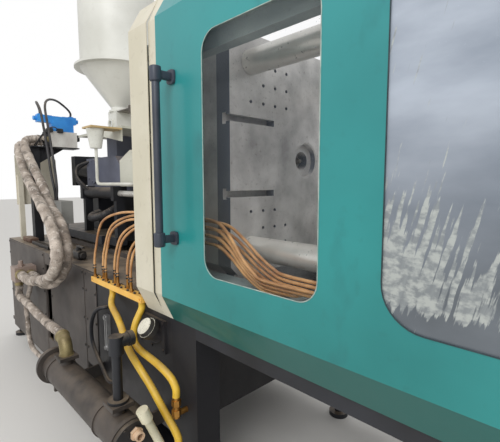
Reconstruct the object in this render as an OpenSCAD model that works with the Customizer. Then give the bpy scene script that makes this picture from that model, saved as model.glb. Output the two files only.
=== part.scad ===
// Horizontal injection moulding machine with a direct hydraulic clamp.
// X runs along the machine, with the mould face of the fixed platen at X = 0, the clamp
// on the +X side and the injection unit on the -X side. Y = 0 is the centre plane, and
// the side with the oil cooler and the water manifold is -Y. The floor is at Z = 0.

/* [Base] */
// Half of the base's length
base_half_l = 3000; // [2950:10:3100]
// Half of the base's width
base_half_w = 650; // [640:5:660]
// Height of the base's underside above the floor
base_z0 = 160; // [120:5:180]
// Height of the base's top
base_z1 = 1010; // [1000:1:1012]
// Wall of the injection end's welded box
base_wall = 12; // [8:1:16]
// Length of the pump chamber, from the left end to the oil tank
pump_room_l = 1820; // [1780:10:1830]
// Height of the oil tank's floor
tank_z0 = 410; // [380:5:430]
// Wall of the oil tank
tank_wall = 8; // [5:1:12]
// Length of the product drop opening
drop_l = 1290; // [1250:10:1330]
// Width of a bed beam beside the drop opening
bed_beam_w = 250; // [240:5:260]
// Height of a top bed beam
bed_beam_h = 110; // [90:5:130]
// Height of a bottom skid beam
skid_h = 140; // [110:5:160]
// Radius of a foot's pad
foot_r = 60; // [45:1:70]
// Radius of a foot's levelling screw
foot_screw_r = 15; // [10:1:20]
// Overhang of an end foot's lug
foot_lug_l = 200; // [190:5:230]

/* [Clamp] */
// Height of the machine's centreline above the floor
axis_z = 1635; // [1630:1:1640]
// Width and height of a platen
platen_w = 1000; // [990:5:1010]
// Thickness of the fixed platen
fixed_t = 250; // [230:5:260]
// Thickness of the moving platen
moving_t = 220; // [200:5:240]
// Thickness of the tail platen
tail_t = 250; // [220:5:270]
// Radius of a tie bar
tie_r = 50; // [45:1:52]
// Distance of a tie bar's axis from the platens' edges
tie_inset = 115; // [110:1:120]
// Distance between the platens with the clamp open
daylight = 1150; // [1130:10:1160]
// Distance from the tail platen's front to the end of the base
tail_gap = 550; // [530:5:570]
// Radius of the locating bore
locating_r = 80; // [60:1:85]
// Depth of the locating bore
locating_depth = 30; // [20:1:40]
// Radius of the clamp ram
ram_r = 130; // [110:1:140]
// Radius of the clamp cylinder
clamp_cylinder_r = 210; // [190:1:230]
// Radius of the hole through the middle of a platen
centre_hole_r = 45; // [40:1:50]
// Radius of a tapped mould-clamping hole
tapped_r = 8; // [6:0.5:9]
// Depth of a tapped hole
tapped_depth = 40; // [30:1:50]
// Pitch of the tapped holes
tapped_pitch = 76; // [74:0.5:77]
// Distance of a T-slot from the centreline
t_slot_z = 153; // [145:1:160]
// Width of a T-slot's mouth
t_slot_w = 27; // [22:1:30]
// Radius of an ejector pin
ejector_r = 15; // [12:1:18]

/* [Guard] */
// Distance of the doors' outer face from the base's side
guard_out = 60; // [55:1:65]
// Left edge of the doors
door_x0 = -193; // [-196:1:-190]
// Length of a door
door_l = 1793; // [1760:5:1810]
// Thickness of the guard sheet
sheet_t = 3; // [2:0.5:3]
// Height of the lower fold
fold_z0 = 1062; // [1050:1:1075]
// Height of the upper fold above the platens
fold_rise = 29; // [20:1:45]
// Bottom edge of the doors
door_z0 = 950; // [945:1:960]
// Height of the sheet above the upper fold
top_fold_h = 106; // [86:1:126]
// Left edge of the first window
window_1_x = 97; // [90:1:110]
// Width of the first window
window_1_w = 482; // [460:1:490]
// Corner radius of the first window
window_1_r = 68; // [50:1:80]
// Left edge of the second window
window_2_x = 756; // [740:1:765]
// Width of the second window
window_2_w = 620; // [600:1:640]
// Corner radius of the second window
window_2_r = 100; // [80:1:120]
// Bottom of the windows
window_z0 = 1200; // [1190:1:1215]
// Top of the windows
window_z1 = 2026; // [2010:1:2035]
// Thickness of a window pane
pane_t = 5; // [3:0.5:6]
// How far a pane laps behind the sheet
pane_lap = 20; // [15:1:24]
// Radius of a door handle's tube
handle_r = 14.5; // [12:0.5:16]
// Distance between a handle's fixings
handle_pitch = 600; // [560:5:620]
// Width of a beige guard post
post_w = 147; // [135:1:147]
// Side of a guard column
column_w = 40; // [36:1:44]

/* [Injection unit] */
// Outer radius of the barrel
barrel_r = 80; // [74:1:84]
// Radius of the screw
screw_r = 35; // [32:0.5:38]
// Radial play between the screw and the barrel
screw_play = 0.05; // [0.02:0.01:0.1]
// Radial play of a piston rod or pin in its bore
rod_play = 0.05; // [0.02:0.01:0.1]
// Half width of the feed housing
housing_half_w = 260; // [250:1:262]
// Half width of the barrel cover
cover_half_w = 320; // [310:1:330]
// Length of the barrel cover
cover_l = 870; // [850:5:880]
// Radius of a carriage cylinder
carriage_cylinder_r = 42; // [36:0.5:44]
// Radius of an injection cylinder
injection_cylinder_r = 55; // [48:0.5:58]

/* [Hopper] */
// Centre of the hopper
hopper_x = -1950; // [-1960:1:-1940]
// Radius of the hopper's cylinder
hopper_r = 300; // [285:1:315]
// Wall of the hopper
hopper_wall = 4; // [3:0.5:6]
// Radius of the hopper's joint flange
hopper_flange_r = 345; // [335:1:360]
// Height of the joint flange
hopper_flange_z = 2460; // [2440:5:2480]
// Height of the hopper's rim
hopper_rim_z = 3300; // [3200:10:3350]
// Radius of the feed throat
throat_r = 40; // [34:1:44]

/* [Services] */
// Radius of the oil cooler's shell
cooler_r = 75; // [72:1:78]
// Radius of the oil cooler's flanges
cooler_flange_r = 100; // [96:1:102]
// Height of the oil cooler's axis
cooler_z = 510; // [506:1:514]
// Distance of the oil cooler's axis from the base's side
cooler_out = 220; // [216:1:224]
// Left end of the oil cooler
cooler_x0 = -1100; // [-1110:1:-1090]
// Right end of the oil cooler
cooler_x1 = -150; // [-156:1:-148]
// Width of the water manifold's bar
manifold_w = 40; // [40:1:44]
// Height of the water manifold's bar
manifold_h = 30; // [26:1:34]
// Radius of a water hose
water_hose_r = 6.5; // [5:0.5:7]
// Radius of a yellow supply hose
yellow_hose_r = 16; // [14:0.5:16.5]
// Radius of a big wrapped hose
big_hose_r = 33; // [28:0.5:34]

/* [Hidden] */
$fn = 48;
// A cut runs past its faces by this much
cut = 1;
// Play between round pieces that don't move on each other
round_gap = 0.3;
// Play under a sliding shoe
shoe_gap = 0.2;

// Base
tank_x0 = -base_half_l + pump_room_l;
column_plate_x0 = -218;
column_plate_x1 = -45;
drop_x1 = column_plate_x1 + drop_l;
rail_h = 35;
rail_w = 60;
platen_rail_y = 440;
carriage_rail_y = 300;
column_plate_w = 120;
top_plate_t = 15;
foot_xs = [-base_half_l - foot_lug_l + foot_r, tank_x0 - 60, -130, drop_x1 + 60,
    base_half_l + foot_lug_l - foot_r];
foot_y = base_half_w - 30 - foot_r;
lug_t = 30;
panel_t = 3;
base_x0 = -base_half_l;
panel_edges = [[base_x0 + 10, base_x0 + 1035, 170], [base_x0 + 1170, base_x0 + 1810, 330],
    [base_x0 + 1828, base_x0 + 1990, 425]];

// Clamp
platen_half = platen_w / 2;
tie_offset = platen_half - tie_inset;
tail_x0 = base_half_l - tail_gap;
platen_foot_y = [300, 500];
moving_x0 = daylight;
moving_x1 = moving_x0 + moving_t;
tail_x1 = tail_x0 + tail_t;
nut_r = 85;
nut_l = 90;
tie_end = 30;
ram_end_play = 40;
ram_flange_t = 30;
clamp_cylinder_x0 = tail_x0 - 500;
clamp_cylinder_x1 = tail_x1 + 200;
clamp_flange_t = 60;
ram_x1 = clamp_cylinder_x1 - 70 - ram_end_play;
bush_r = tie_r + 15;
ejector_y = 120;
ejector_plate_x0 = moving_x1 + 110;
ejector_plate_t = 40;
ejector_rod_r = 20;
ejector_rod_y = 250;
tapped_y = 154;
tapped_z = 230;
t_slot_end = 237;
pocket_r = 150;

// Guard
guard_y = base_half_w + guard_out;
fold_z1 = axis_z + platen_half + fold_rise;
door_z1 = fold_z1 + top_fold_h;
column_x0 = -400;
column_x1 = door_x0 + door_l - 40;
header_y = base_half_w - 60;
header_z1 = axis_z + platen_half - 15;
header_z0 = header_z1 - 120;
cross_tube_h = 40;
header_t = 50;
header_y1 = header_y + header_t;
clamp_lid_z1 = axis_z + platen_half + 25;
track_z0 = header_z1 - 60;
track_h = 30;
track_t = 30;
track_gap = 0.3;
lip_y = base_half_w + 3 + sheet_t;
crown_y = lip_y - 6;
frame_tube = 30;
hanger_z1 = track_z0 + 64;
post_x0 = -408;
post_gap = 2;
handle_x = door_x0 + 110;
handle_y = guard_y + 70;
handle_z = 1617;
ledge_z = 1150;
ledge_y = platen_half + 10;

// Injection unit
housing_x0 = hopper_x - 110;
housing_x1 = housing_x0 + 600;
housing_z0 = 1472;
housing_z1 = 1725;
cover_x0 = housing_x1 + 120;
cover_bevel = 75;
frame_z0 = base_z1 + rail_h + 45;
frame_z1 = frame_z0 + 60;
frame_half_w = 400;
frame_x0 = housing_x0 - 500;
frame_x1 = housing_x1 - 40;
barrel_x1 = -180;
nozzle_x1 = -35;
carriage_cylinder_y = 320;
carriage_cylinder_z = 1455;
carriage_cylinder_x = [housing_x0 + 140, housing_x1 + 100];
head_half = 50;
carriage_rod_r = 20;
carriage_rod_x0 = carriage_cylinder_x[0] + 40;
injection_cylinder_y = 190;
injection_cylinder_l = 280;
injection_rod_r = 28;
injection_plate_x1 = housing_x0 - injection_cylinder_l - 30;
injection_plate_t = 90;
injection_plate_x0 = injection_plate_x1 - injection_plate_t;
motor_l = 260;
motor_r = 120;

// Hopper
platform_z1 = 1930;
platform_t = 16;
platform_half_w = 260;
magnet_half = 75;
magnet_z1 = 2105;
gate_t = 10;
gate_play = 0.3;
gate_z0 = magnet_z1 + gate_play;
neck_z0 = magnet_z1 + gate_t + 2 * gate_play;
neck_r = 75;
flange_t = 8;
lid_t = 25;
hinge_out = hopper_r + 30;
hinge_r = 5;

// Services
cooler_y = base_half_w + cooler_out;
side_reach = cooler_y + cooler_flange_r;
manifold_x = [-975, -412];
manifold_z1 = 1005;
manifold_y1 = base_half_w + manifold_w;
tail_count = 8;
tail_pitch = 70;
tail_first_x = -940;
tail_rows = [12, 30];
tail_h = 50;
filler_plate_t = 12;
cap_foot = [-320, -base_half_w - filler_plate_t, 850];
cap_neck_l = 40;
cap_tilt = 50;
cap_r = 46;
cooler_nozzles = [-890, -290];
cooler_nozzle_z1 = 630;
cooler_port_z = 52;
oil_pipe_r = 20;
oil_tee_z = 884;
panel_box_x = [-950, -450];
panel_box_y0 = guard_y + 90;
panel_box_y1 = side_reach - 45;
panel_box_z = [1250, 1750];
swivel = [-440, guard_y + 50];
swivel_r = 12;
lug_r = 34;
arm_half = 12;
collar_t = 12;
button_r = 20;
stop_x = panel_box_x[1] - 80;
stop_z = panel_box_z[0] + 90;
switch_x = base_x0 + 920;
switch_z = 640;
cabinet_y0 = base_half_w + panel_t + 2;
pump_x = base_x0 + 200;
pump_z = base_z0 + base_wall + 200;
shaft_r = 16;

// Hand-chosen routes of the hoses and cables
// The supply hoses, with Y measured from the base's side
yellow_route_a = [[-748, -20, 975], [-748, -20, 948], [-738, -32, 920], [-706, -47, 900],
    [-652, -60, 887], [-580, -75, 871], [-500, -94, 846], [-430, -112, 812],
    [-380, -114, 772], [-315, -107, 723], [-250, -95, 667], [-202, -84, 612],
    [-162, -72, 559], [-127, -61, 515], [-105, -55, 478], [-105, -55, 450]];
yellow_route_b = [[-440, -20, 975], [-440, -20, 945], [-440, -36, 914], [-438, -57, 876],
    [-432, -71, 828], [-408, -74, 792], [-360, -74, 777], [-306, -70, 768],
    [-235, -65, 756], [-178, -59, 738], [-140, -53, 714], [-120, -50, 682],
    [-120, -50, 650]];
big_route_a = [[-2660, -300, 1915], [-2700, -300, 1915], [-2740, -322, 1913],
    [-2766, -380, 1909], [-2772, -450, 1900], [-2752, -540, 1880], [-2690, -600, 1840],
    [-2490, -632, 1695], [-2130, -680, 1545], [-1670, -742, 1408], [-1400, -772, 1310],
    [-1270, -785, 1223], [-1200, -795, 1140], [-1206, -800, 1055], [-1330, -800, 950],
    [-1580, -798, 885], [-1850, -785, 835], [-2060, -768, 820], [-2172, -768, 820]];
big_route_b = [[-2600, -380, 1920], [-2600, -430, 1920], [-2593, -500, 1914],
    [-2560, -565, 1893], [-2485, -602, 1832], [-2340, -610, 1728], [-2001, -632, 1535],
    [-1675, -672, 1372], [-1400, -700, 1266], [-1290, -715, 1186], [-1240, -725, 1110],
    [-1292, -730, 990], [-1540, -730, 862], [-1808, -725, 815], [-2050, -695, 808],
    [-2172, -695, 808]];
cooler_route = [[-2235, -765, 758], [-2235, -765, 705], [-2215, -775, 664],
    [-2155, -782, 650], [-2014, -790, 654], [-1817, -800, 660], [-1596, -810, 655],
    [-1281, -830, 673], [-1050, -852, 704], [-950, -866, 712], [-903, -870, 696],
    [-890, -870, 663], [-890, -870, 630]];
drain_route = [[-2235, -690, 758], [-2235, -690, 690], [-2228, -712, 610],
    [-2200, -734, 540], [-2158, -740, 450], [-2148, -740, 340], [-2105, -740, 272],
    [-2020, -740, 243], [-1832, -735, 245], [-1670, -718, 266], [-1595, -704, 278],
    [-1554, -690, 284], [-1540, -670, 285], [-1540, -650, 285]];
cable_routes = [
    [[-2600, -440, 2138], [-2600, -440, 2162], [-2560, -460, 2190], [-2450, -505, 2205],
        [-2300, -540, 2170], [-2160, -560, 2085], [-2060, -570, 1920], [-2000, -570, 1750],
        [-1955, -570, 1600], [-1922, -563, 1480], [-1920, -560, 1440], [-1920, -560, 1400]],
    [[-2600, -180, 2138], [-2600, -180, 2175], [-2570, -230, 2215], [-2470, -340, 2245],
        [-2330, -450, 2215], [-2180, -520, 2130], [-2065, -542, 1970], [-1990, -546, 1780],
        [-1930, -548, 1600], [-1892, -555, 1490], [-1885, -560, 1440], [-1885, -560, 1400]]];
tee_hose_route = [[-300, -866, 884], [-330, -852, 868], [-370, -832, 850], [-430, -804, 820],
    [-510, -768, 782], [-590, -734, 743], [-655, -712, 712], [-706, -697, 690],
    [-729, -674, 680], [-729, -648, 680]];
gauge_loop_route = [[-860, -648, 845], [-860, -668, 845], [-884, -687, 838],
    [-930, -692, 812], [-970, -692, 770], [-1000, -692, 710], [-1003, -692, 640],
    [-985, -690, 590], [-945, -688, 545], [-890, -686, 500], [-842, -686, 465],
    [-806, -684, 445], [-788, -668, 440], [-788, -648, 440]];
// The cup's pipe, measured from the cup's axis; it ends on the barrel cover's side
cup_pipe_route = [[0, 0, 1766], [0, 0, 1700], [0, 0, 1600], [0, 0, 1550], [8, 1, 1530],
    [30, 4, 1521], [100, 15, 1520], [200, 35, 1520], [285, 54, 1520], [322, 64, 1520],
    [335, 80, 1520], [335, 100, 1520]];

// Each water hose rises from a tail, runs past the column in its own lane, comes down
// on the ledge inside the guard, turns back there and returns to the next tail. A rise
// point is the share of the way to the lane in X and Y, and the drop below the lane.
water_rise = [[0.10, 0.25, 70], [0.35, 0.60, 12], [0.70, 0.90, 0], [1, 1, 0]];
// A fall point is the place in X, and the share of the lane's height that is left
water_fall = [[-200, 1], [-60, 1], [30, 0.93], [110, 0.66], [180, 0.34], [250, 0.10],
    [310, 0]];
lane_x = -395;
lane_y = [-580, -530];
lane_z = 1270;
lane_step = 16;
lay_z = 1158;
function tail_at(i) = [tail_first_x + i * tail_pitch, -base_half_w - tail_rows[1 - i % 2]];
function lane_of(i) = lane_z + lane_step * (tail_count - 1 - i);
function rise(i) = let (t = tail_at(i), z0 = manifold_z1 + tail_h, z1 = lane_of(i),
        y1 = lane_y[i % 2])
    concat([[t.x, t.y, z0], [t.x, t.y, z0 + 45], [t.x + 5, t.y + 8, z0 + 115]],
        [for (p = water_rise) [t.x + p.x * (lane_x - t.x), t.y + p.y * (y1 - t.y), z1 - p.z]]);
function fall(i, y, z) = let (z1 = lane_of(i), y1 = lane_y[i % 2])
    [for (p = water_fall) [p.x, y + (y1 - y) * p.y, z + (z1 - z) * p.y]];
function reversed(list) = [for (i = [len(list) - 1 : -1 : 0]) list[i]];
function water_route(k) = let (turn = tail_count / 2 - 1 - k, z = lay_z + 15 * turn,
        ya = -625 + 7 * k, yb = -518 - 5 * k, mid = (ya + yb) / 2, half = (yb - ya) / 2)
    concat(rise(2 * k), fall(2 * k, ya, z),
        [for (a = [-60 : 30 : 60]) [330 + 60 * turn + half * cos(a), mid + half * sin(a), z]],
        reversed(fall(2 * k + 1, yb, z)), reversed(rise(2 * k + 1)));

// A box between two corners
module box(x0, x1, y0, y1, z0, z1) {
    translate([x0, y0, z0])
        cube([x1 - x0, y1 - y0, z1 - z0]);
}

// The same thing on both sides of the centre plane
module both_sides() {
    children();
    mirror([0, 1, 0])
        children();
}

// A rod along X
module rod_x(x0, x1, r) {
    translate([x0, 0, 0])
        rotate([0, 90, 0])
            cylinder(h = x1 - x0, r = r);
}

// A rod along Y, from y0 up to y1
module rod_y(y0, y1, r) {
    translate([0, y0, 0])
        rotate([-90, 0, 0])
            cylinder(h = y1 - y0, r = r);
}

// An outline in Y and Z, drawn out along X
module along_x(x0, x1) {
    translate([x0, 0, 0])
        rotate([90, 0, 90])
            linear_extrude(x1 - x0)
                children();
}

// An outline in X and Z, drawn out along Y
module along_y(y0, y1) {
    translate([0, y1, 0])
        rotate([90, 0, 0])
            linear_extrude(y1 - y0)
                children();
}

// A rectangle with round corners
module rounded(x0, x1, z0, z1, r) {
    translate([x0 + r, z0])
        square([x1 - x0 - 2 * r, z1 - z0]);
    translate([x0, z0 + r])
        square([x1 - x0, z1 - z0 - 2 * r]);
    for (x = [x0 + r, x1 - r], z = [z0 + r, z1 - r])
        translate([x, z])
            circle(r);
}

// Hose routes: a smooth curve through the chosen points, and rings carried along it
function blend(a, b, c, d, t) = 0.5 * (2 * b + (c - a) * t
    + (2 * a - 5 * b + 4 * c - d) * t * t + (3 * b - a - 3 * c + d) * t * t * t);
function smooth(p, steps) = let (last = len(p) - 1) concat(
    [for (i = [0 : last - 1], k = [0 : steps - 1])
        blend(p[max(i - 1, 0)], p[i], p[i + 1], p[min(i + 2, last)], k / steps)],
    [p[last]]);
function unit(v) = v / norm(v);
// Headings at the rings; the end rings are square to the route's first and last stretch
function headings(p, route) = let (last = len(p) - 1, end = len(route) - 1) concat(
    [unit(route[1] - route[0])], [for (i = [1 : last - 1]) unit(p[i + 1] - p[i - 1])],
    [unit(route[end] - route[end - 1])]);
function sides_of(heading, s, i = 0) = i == len(heading) ? [] :
    let (t = heading[i], v = unit(s - t * (s * t)))
        concat([v], sides_of(heading, v, i + 1));

module hose(route, r, sides = 8, steps = 3) {
    p = smooth(route, steps);
    rings = len(p);
    heading = headings(p, route);
    side = sides_of(heading, abs(heading[0].z) > 0.9 ? [1, 0, 0] : [0, 0, 1]);
    points = [for (i = [0 : rings - 1], j = [0 : sides - 1])
        let (a = 360 * j / sides, up = cross(heading[i], side[i]))
            p[i] + r * (cos(a) * side[i] + sin(a) * up)];
    walls = [for (i = [0 : rings - 2], j = [0 : sides - 1], half = [0, 1])
        let (a = i * sides + j, b = i * sides + (j + 1) % sides)
            half == 0 ? [a, a + sides, b + sides] : [a, b + sides, b]];
    ends = [[for (j = [0 : sides - 1]) j],
        [for (j = [0 : sides - 1]) rings * sides - 1 - j]];
    polyhedron(points = points, faces = concat(walls, ends), convexity = 10);
}

// Base
module injection_base() color([0.41, 0.39, 0.37]) {
    x0 = -base_half_l;
    w = base_half_w;
    difference() {
        box(x0, tank_x0, -w, w, base_z0, base_z1);
        box(x0 + base_wall, tank_x0 - base_wall, -w + base_wall, w - base_wall,
            base_z0 + base_wall, base_z1 - top_plate_t);
        both_sides()
            for (edge = [[x0 + 100, x0 + 1010], [x0 + 1050, x0 + 1740]])
                box(edge[0], edge[1], w - base_wall - cut, w + cut, 340, 920);
    }
    box(tank_x0 - cut, column_plate_x1, -w, w, base_z1 - top_plate_t, base_z1);
    box(column_plate_x0, column_plate_x1, -w + column_plate_w - cut, w - column_plate_w + cut,
        base_z1 - top_plate_t - 120, base_z1 - top_plate_t + cut);
    both_sides() {
        box(column_plate_x0, column_plate_x1, w - column_plate_w, w,
            base_z0 + skid_h - cut, base_z1 - top_plate_t + cut);
        box(tank_x0 - cut, column_plate_x1, w - column_plate_w, w, base_z0, base_z0 + skid_h);
        box(x0 + 60, -450, carriage_rail_y - rail_w / 2, carriage_rail_y + rail_w / 2,
            base_z1 - cut, base_z1 + rail_h);
        box(x0 - foot_lug_l, x0 + cut, foot_y - foot_r, foot_y + foot_r,
            base_z0, base_z0 + lug_t);
        along_y(foot_y - 8, foot_y + 8)
            polygon([[x0 - foot_lug_l + 90, base_z0 + lug_t - cut],
                [x0 + cut, base_z0 + lug_t - cut], [x0 + cut, base_z0 + 190]]);
    }
}

module clamp_base() color([0.13, 0.14, 0.16]) {
    x1 = base_half_l;
    w = base_half_w;
    difference() {
        box(drop_x1, x1, -w, w, base_z0, base_z1);
        box(drop_x1 + base_wall, x1 - base_wall, -w + base_wall, w - base_wall,
            base_z0 + base_wall, base_z1 - top_plate_t);
    }
    both_sides() {
        box(column_plate_x1, drop_x1 + cut, w - bed_beam_w, w, base_z1 - bed_beam_h, base_z1);
        box(column_plate_x1, drop_x1 + cut, w - column_plate_w, w, base_z0, base_z0 + skid_h);
        box(fixed_t, tail_x0 - 40, platen_rail_y - rail_w / 2, platen_rail_y + rail_w / 2,
            base_z1 - cut, base_z1 + rail_h);
        box(x1 - cut, x1 + foot_lug_l, foot_y - foot_r, foot_y + foot_r,
            base_z0, base_z0 + lug_t);
        along_y(foot_y - 8, foot_y + 8)
            polygon([[x1 + foot_lug_l - 90, base_z0 + lug_t - cut],
                [x1 - cut, base_z0 + lug_t - cut], [x1 - cut, base_z0 + 190]]);
    }
}

module levelling_feet() color([0.2, 0.2, 0.22])
    for (x = foot_xs, side = [-1, 1])
        translate([x, side * foot_y, 0]) {
            cylinder(h = 28, r = foot_r);
            cylinder(h = 60, r = foot_screw_r + 12, $fn = 6);
            cylinder(h = base_z0, r = foot_screw_r);
            translate([0, 0, base_z0 - 22])
                cylinder(h = 22, r = foot_screw_r + 10, $fn = 6);
        }

module oil_tank() color([0.25, 0.23, 0.22]) {
    w = base_half_w - 2;
    x0 = tank_x0;
    x1 = column_plate_x0;
    z1 = base_z1 - top_plate_t;
    difference() {
        box(x0, x1, -w, w, tank_z0, z1);
        box(x0 + tank_wall, x1 - tank_wall, -w + tank_wall, w - tank_wall,
            tank_z0 + tank_wall, z1 - tank_wall);
    }
    // Bolted filler plate with the breather's slanted neck
    difference() {
        union() {
            box(-480, -262, -base_half_w - filler_plate_t, -w + cut, 770, 920);
            translate(cap_foot)
                rotate([cap_tilt, 0, 0])
                    translate([0, 0, -14])
                        cylinder(h = cap_neck_l + 14, r = cap_r - 8);
        }
        box(-520, -222, -w + tank_wall, -w + tank_wall + 90, 700, 980);
    }
    for (x = [-466, -371, -276], z = [784, 906])
        translate([x, 0, z])
            rod_y(-base_half_w - filler_plate_t - 5, -base_half_w - filler_plate_t + cut, 7);
}

module side_panels() color([0.43, 0.41, 0.39]) {
    // Hinge plates of the cabinet door
    for (z = [420, 800])
        box(base_x0 + 104, base_x0 + 120, base_half_w + panel_t - cut, cabinet_y0 + 4,
            z - 20, z + 80);
    both_sides()
        for (e = panel_edges)
            difference() {
                box(e[0], e[1], base_half_w, base_half_w + panel_t, e[2], base_z1 - 12);
                for (x = [e[0] + 14, e[1] - 14], z = [e[2] + 20, base_z1 - 40])
                    translate([x, 0, z])
                        rod_y(base_half_w + panel_t - 1.5, base_half_w + panel_t + cut, 5);
            }
}

// Clamp
module tie_bar_places()
    for (y = [-1, 1], z = [-1, 1])
        translate([0, y * tie_offset, axis_z + z * tie_offset])
            children();

// Tapped holes and T-slots of a mould face; inward is +1 or -1 along X
module mould_face_cuts(face, inward) {
    mouth = [face - inward * cut, face + inward * 25];
    deep = [face + inward * 24, face + inward * 46];
    for (y = [-1, 1], z = [-1, 1]) {
        for (row = [0 : 2], k = [(z < 0 && row == 0 ? 1 : 0) : 3 - row])
            translate([face - inward * cut, y * (tapped_y + k * tapped_pitch),
                    axis_z + z * (tapped_z + row * tapped_pitch)])
                rotate([0, inward * 90, 0])
                    cylinder(h = tapped_depth + cut, r = tapped_r, $fn = 24);
        translate([0, 0, axis_z + z * t_slot_z])
            for (part = [[mouth, t_slot_w / 2], [deep, t_slot_w * 0.85]])
                box(min(part[0]), max(part[0]), y > 0 ? t_slot_end : -platen_half - cut,
                    y > 0 ? platen_half + cut : -t_slot_end, -part[1], part[1]);
    }
}

module platen_blank(x0, x1, foot_z) {
    bevel = 45;
    h = platen_half;
    along_x(x0, x1)
        polygon([[-h + bevel, axis_z - h], [h - bevel, axis_z - h], [h, axis_z - h + bevel],
            [h, axis_z + h - bevel], [h - bevel, axis_z + h], [-h + bevel, axis_z + h],
            [-h, axis_z + h - bevel], [-h, axis_z - h + bevel]]);
    both_sides()
        box(x0 + 30, x1 - 30, platen_foot_y[0], platen_foot_y[1] - bevel, foot_z,
            axis_z - h + cut);
}

module fixed_platen() color([0.65, 0.65, 0.65])
    difference() {
        platen_blank(-fixed_t, 0, base_z1);
        tie_bar_places()
            rod_x(-fixed_t - cut, cut, tie_r + round_gap);
        translate([0, 0, axis_z]) {
            rod_x(-locating_depth, cut, locating_r);
            rod_x(-fixed_t, 0, centre_hole_r);
            translate([-4, 0, 0])
                rotate([0, 90, 0])
                    cylinder(h = 4 + 0.01, r1 = locating_r, r2 = locating_r + 9);
            rotate([0, -90, 0])
                translate([0, 0, 90])
                    cylinder(h = fixed_t - 90 + cut, r1 = 75, r2 = pocket_r);
        }
        mould_face_cuts(0, -1);
    }

module tail_platen() color([0.55, 0.56, 0.57])
    difference() {
        platen_blank(tail_x0, tail_x1, base_z1);
        tie_bar_places()
            rod_x(tail_x0 - cut, tail_x1 + cut, tie_r + round_gap);
        translate([0, 0, axis_z])
            rod_x(tail_x0 - cut, tail_x1 + cut, clamp_cylinder_r + round_gap);
    }

module tie_bars() color([0.75, 0.75, 0.73])
    tie_bar_places() {
        rod_x(-fixed_t - nut_l - tie_end, tail_x1 + nut_l + tie_end, tie_r);
        rod_x(-fixed_t - nut_l, -fixed_t, nut_r);
        rod_x(tail_x1, tail_x1 + nut_l, nut_r);
    }

module clamp_cylinder() color([0.3, 0.32, 0.35])
    translate([0, 0, axis_z])
        difference() {
            union() {
                rod_x(clamp_cylinder_x0, clamp_cylinder_x1, clamp_cylinder_r);
                rod_x(tail_x0 - clamp_flange_t, tail_x0, clamp_cylinder_r + 70);
            }
            rod_x(clamp_cylinder_x0 - cut, clamp_cylinder_x0 + 200, ram_r + rod_play);
            rod_x(clamp_cylinder_x0 + 199, clamp_cylinder_x1 - 70, ram_r + 18);
        }

module moving_platen() color([0.62, 0.62, 0.62]) {
    difference() {
        platen_blank(moving_x0, moving_x1, base_z1 + rail_h + 60);
        tie_bar_places()
            rod_x(moving_x0 - cut, moving_x1 + cut, tie_r + rod_play);
        for (y = [-1, 1], z = [-1, 1])
            translate([0, y * ejector_y, axis_z + z * ejector_y])
                rod_x(moving_x0 - cut, moving_x1 + cut, ejector_r + rod_play);
        translate([0, 0, axis_z]) {
            rod_x(moving_x0 - cut, moving_x0 + locating_depth, locating_r);
            rod_x(moving_x0, moving_x1 + cut, centre_hole_r);
        }
        mould_face_cuts(moving_x0, 1);
    }
    // Slide shoes that run on the bed's rails
    both_sides()
        box(moving_x0 + 20, moving_x1 - 20, platen_rail_y - 35, platen_rail_y + 15,
            base_z1 + rail_h + shoe_gap, base_z1 + rail_h + 61);
    // Bush collars behind the platen
    tie_bar_places()
        difference() {
            rod_x(moving_x1 - cut, moving_x1 + 20, bush_r);
            rod_x(moving_x1 - 2 * cut, moving_x1 + 21, tie_r + rod_play);
        }
    // Guide rods of the ejector
    for (y = [-1, 1])
        translate([0, y * ejector_rod_y, axis_z])
            rod_x(moving_x1 - 5, ejector_plate_x0 + ejector_plate_t + 100, ejector_rod_r);
}

module clamp_ram() color([0.82, 0.82, 0.82])
    translate([0, 0, axis_z]) {
        rod_x(moving_x1, moving_x1 + ram_flange_t, ram_r + 20);
        rod_x(moving_x1 + ram_flange_t - cut, ram_x1, ram_r);
    }

module ejector_plate() color([0.45, 0.46, 0.48]) {
    x0 = ejector_plate_x0;
    x1 = x0 + ejector_plate_t;
    difference() {
        union() {
            box(x0, x1, -320, 320, axis_z - 190, axis_z + 190);
            for (y = [-1, 1])
                translate([0, y * ejector_rod_y, axis_z])
                    rod_x(x1 - cut, x1 + 70, ejector_rod_r + 22);
        }
        translate([0, 0, axis_z])
            rod_x(x0 - cut, x1 + cut, ram_r + 12);
        for (y = [-1, 1])
            translate([0, y * ejector_rod_y, axis_z])
                rod_x(x0 - cut, x1 + 71, ejector_rod_r + rod_play);
    }
    for (y = [-1, 1], z = [-1, 1])
        translate([0, y * ejector_y, axis_z + z * ejector_y])
            rod_x(moving_x0 + 5, x0 + cut, ejector_r);
}

// Guard
module guard_columns() color([0.55, 0.6, 0.6]) {
    both_sides() {
        for (x = [column_x0, column_x1, base_half_l - 70])
            box(x, x + 60, header_y1 - column_w, header_y1, base_z1, header_z0);
        along_x(column_x0 + 59, column_x1 + 1)
            polygon([[header_y1 - 3, base_z1], [header_y1, base_z1], [header_y1, ledge_z],
                [ledge_y, ledge_z], [ledge_y, ledge_z - 3], [header_y1 - 3, ledge_z - 3]]);
    }
    // Arms of the control panel, round the outside of the guard post
    for (z = [panel_box_z[0] + 100, panel_box_z[1] - 130])
        difference() {
            union() {
                box(swivel[0] - arm_half, column_x0 + cut, header_y1 - column_w + 5, header_y1,
                    z, z + 30);
                box(swivel[0] - arm_half, swivel[0] + arm_half, header_y1 - cut, swivel[1],
                    z, z + 30);
                translate([swivel[0], swivel[1], z])
                    cylinder(h = 30, r = lug_r);
            }
            translate([swivel[0], swivel[1], z - cut])
                cylinder(h = 32, r = swivel_r + rod_play);
        }
}

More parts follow.
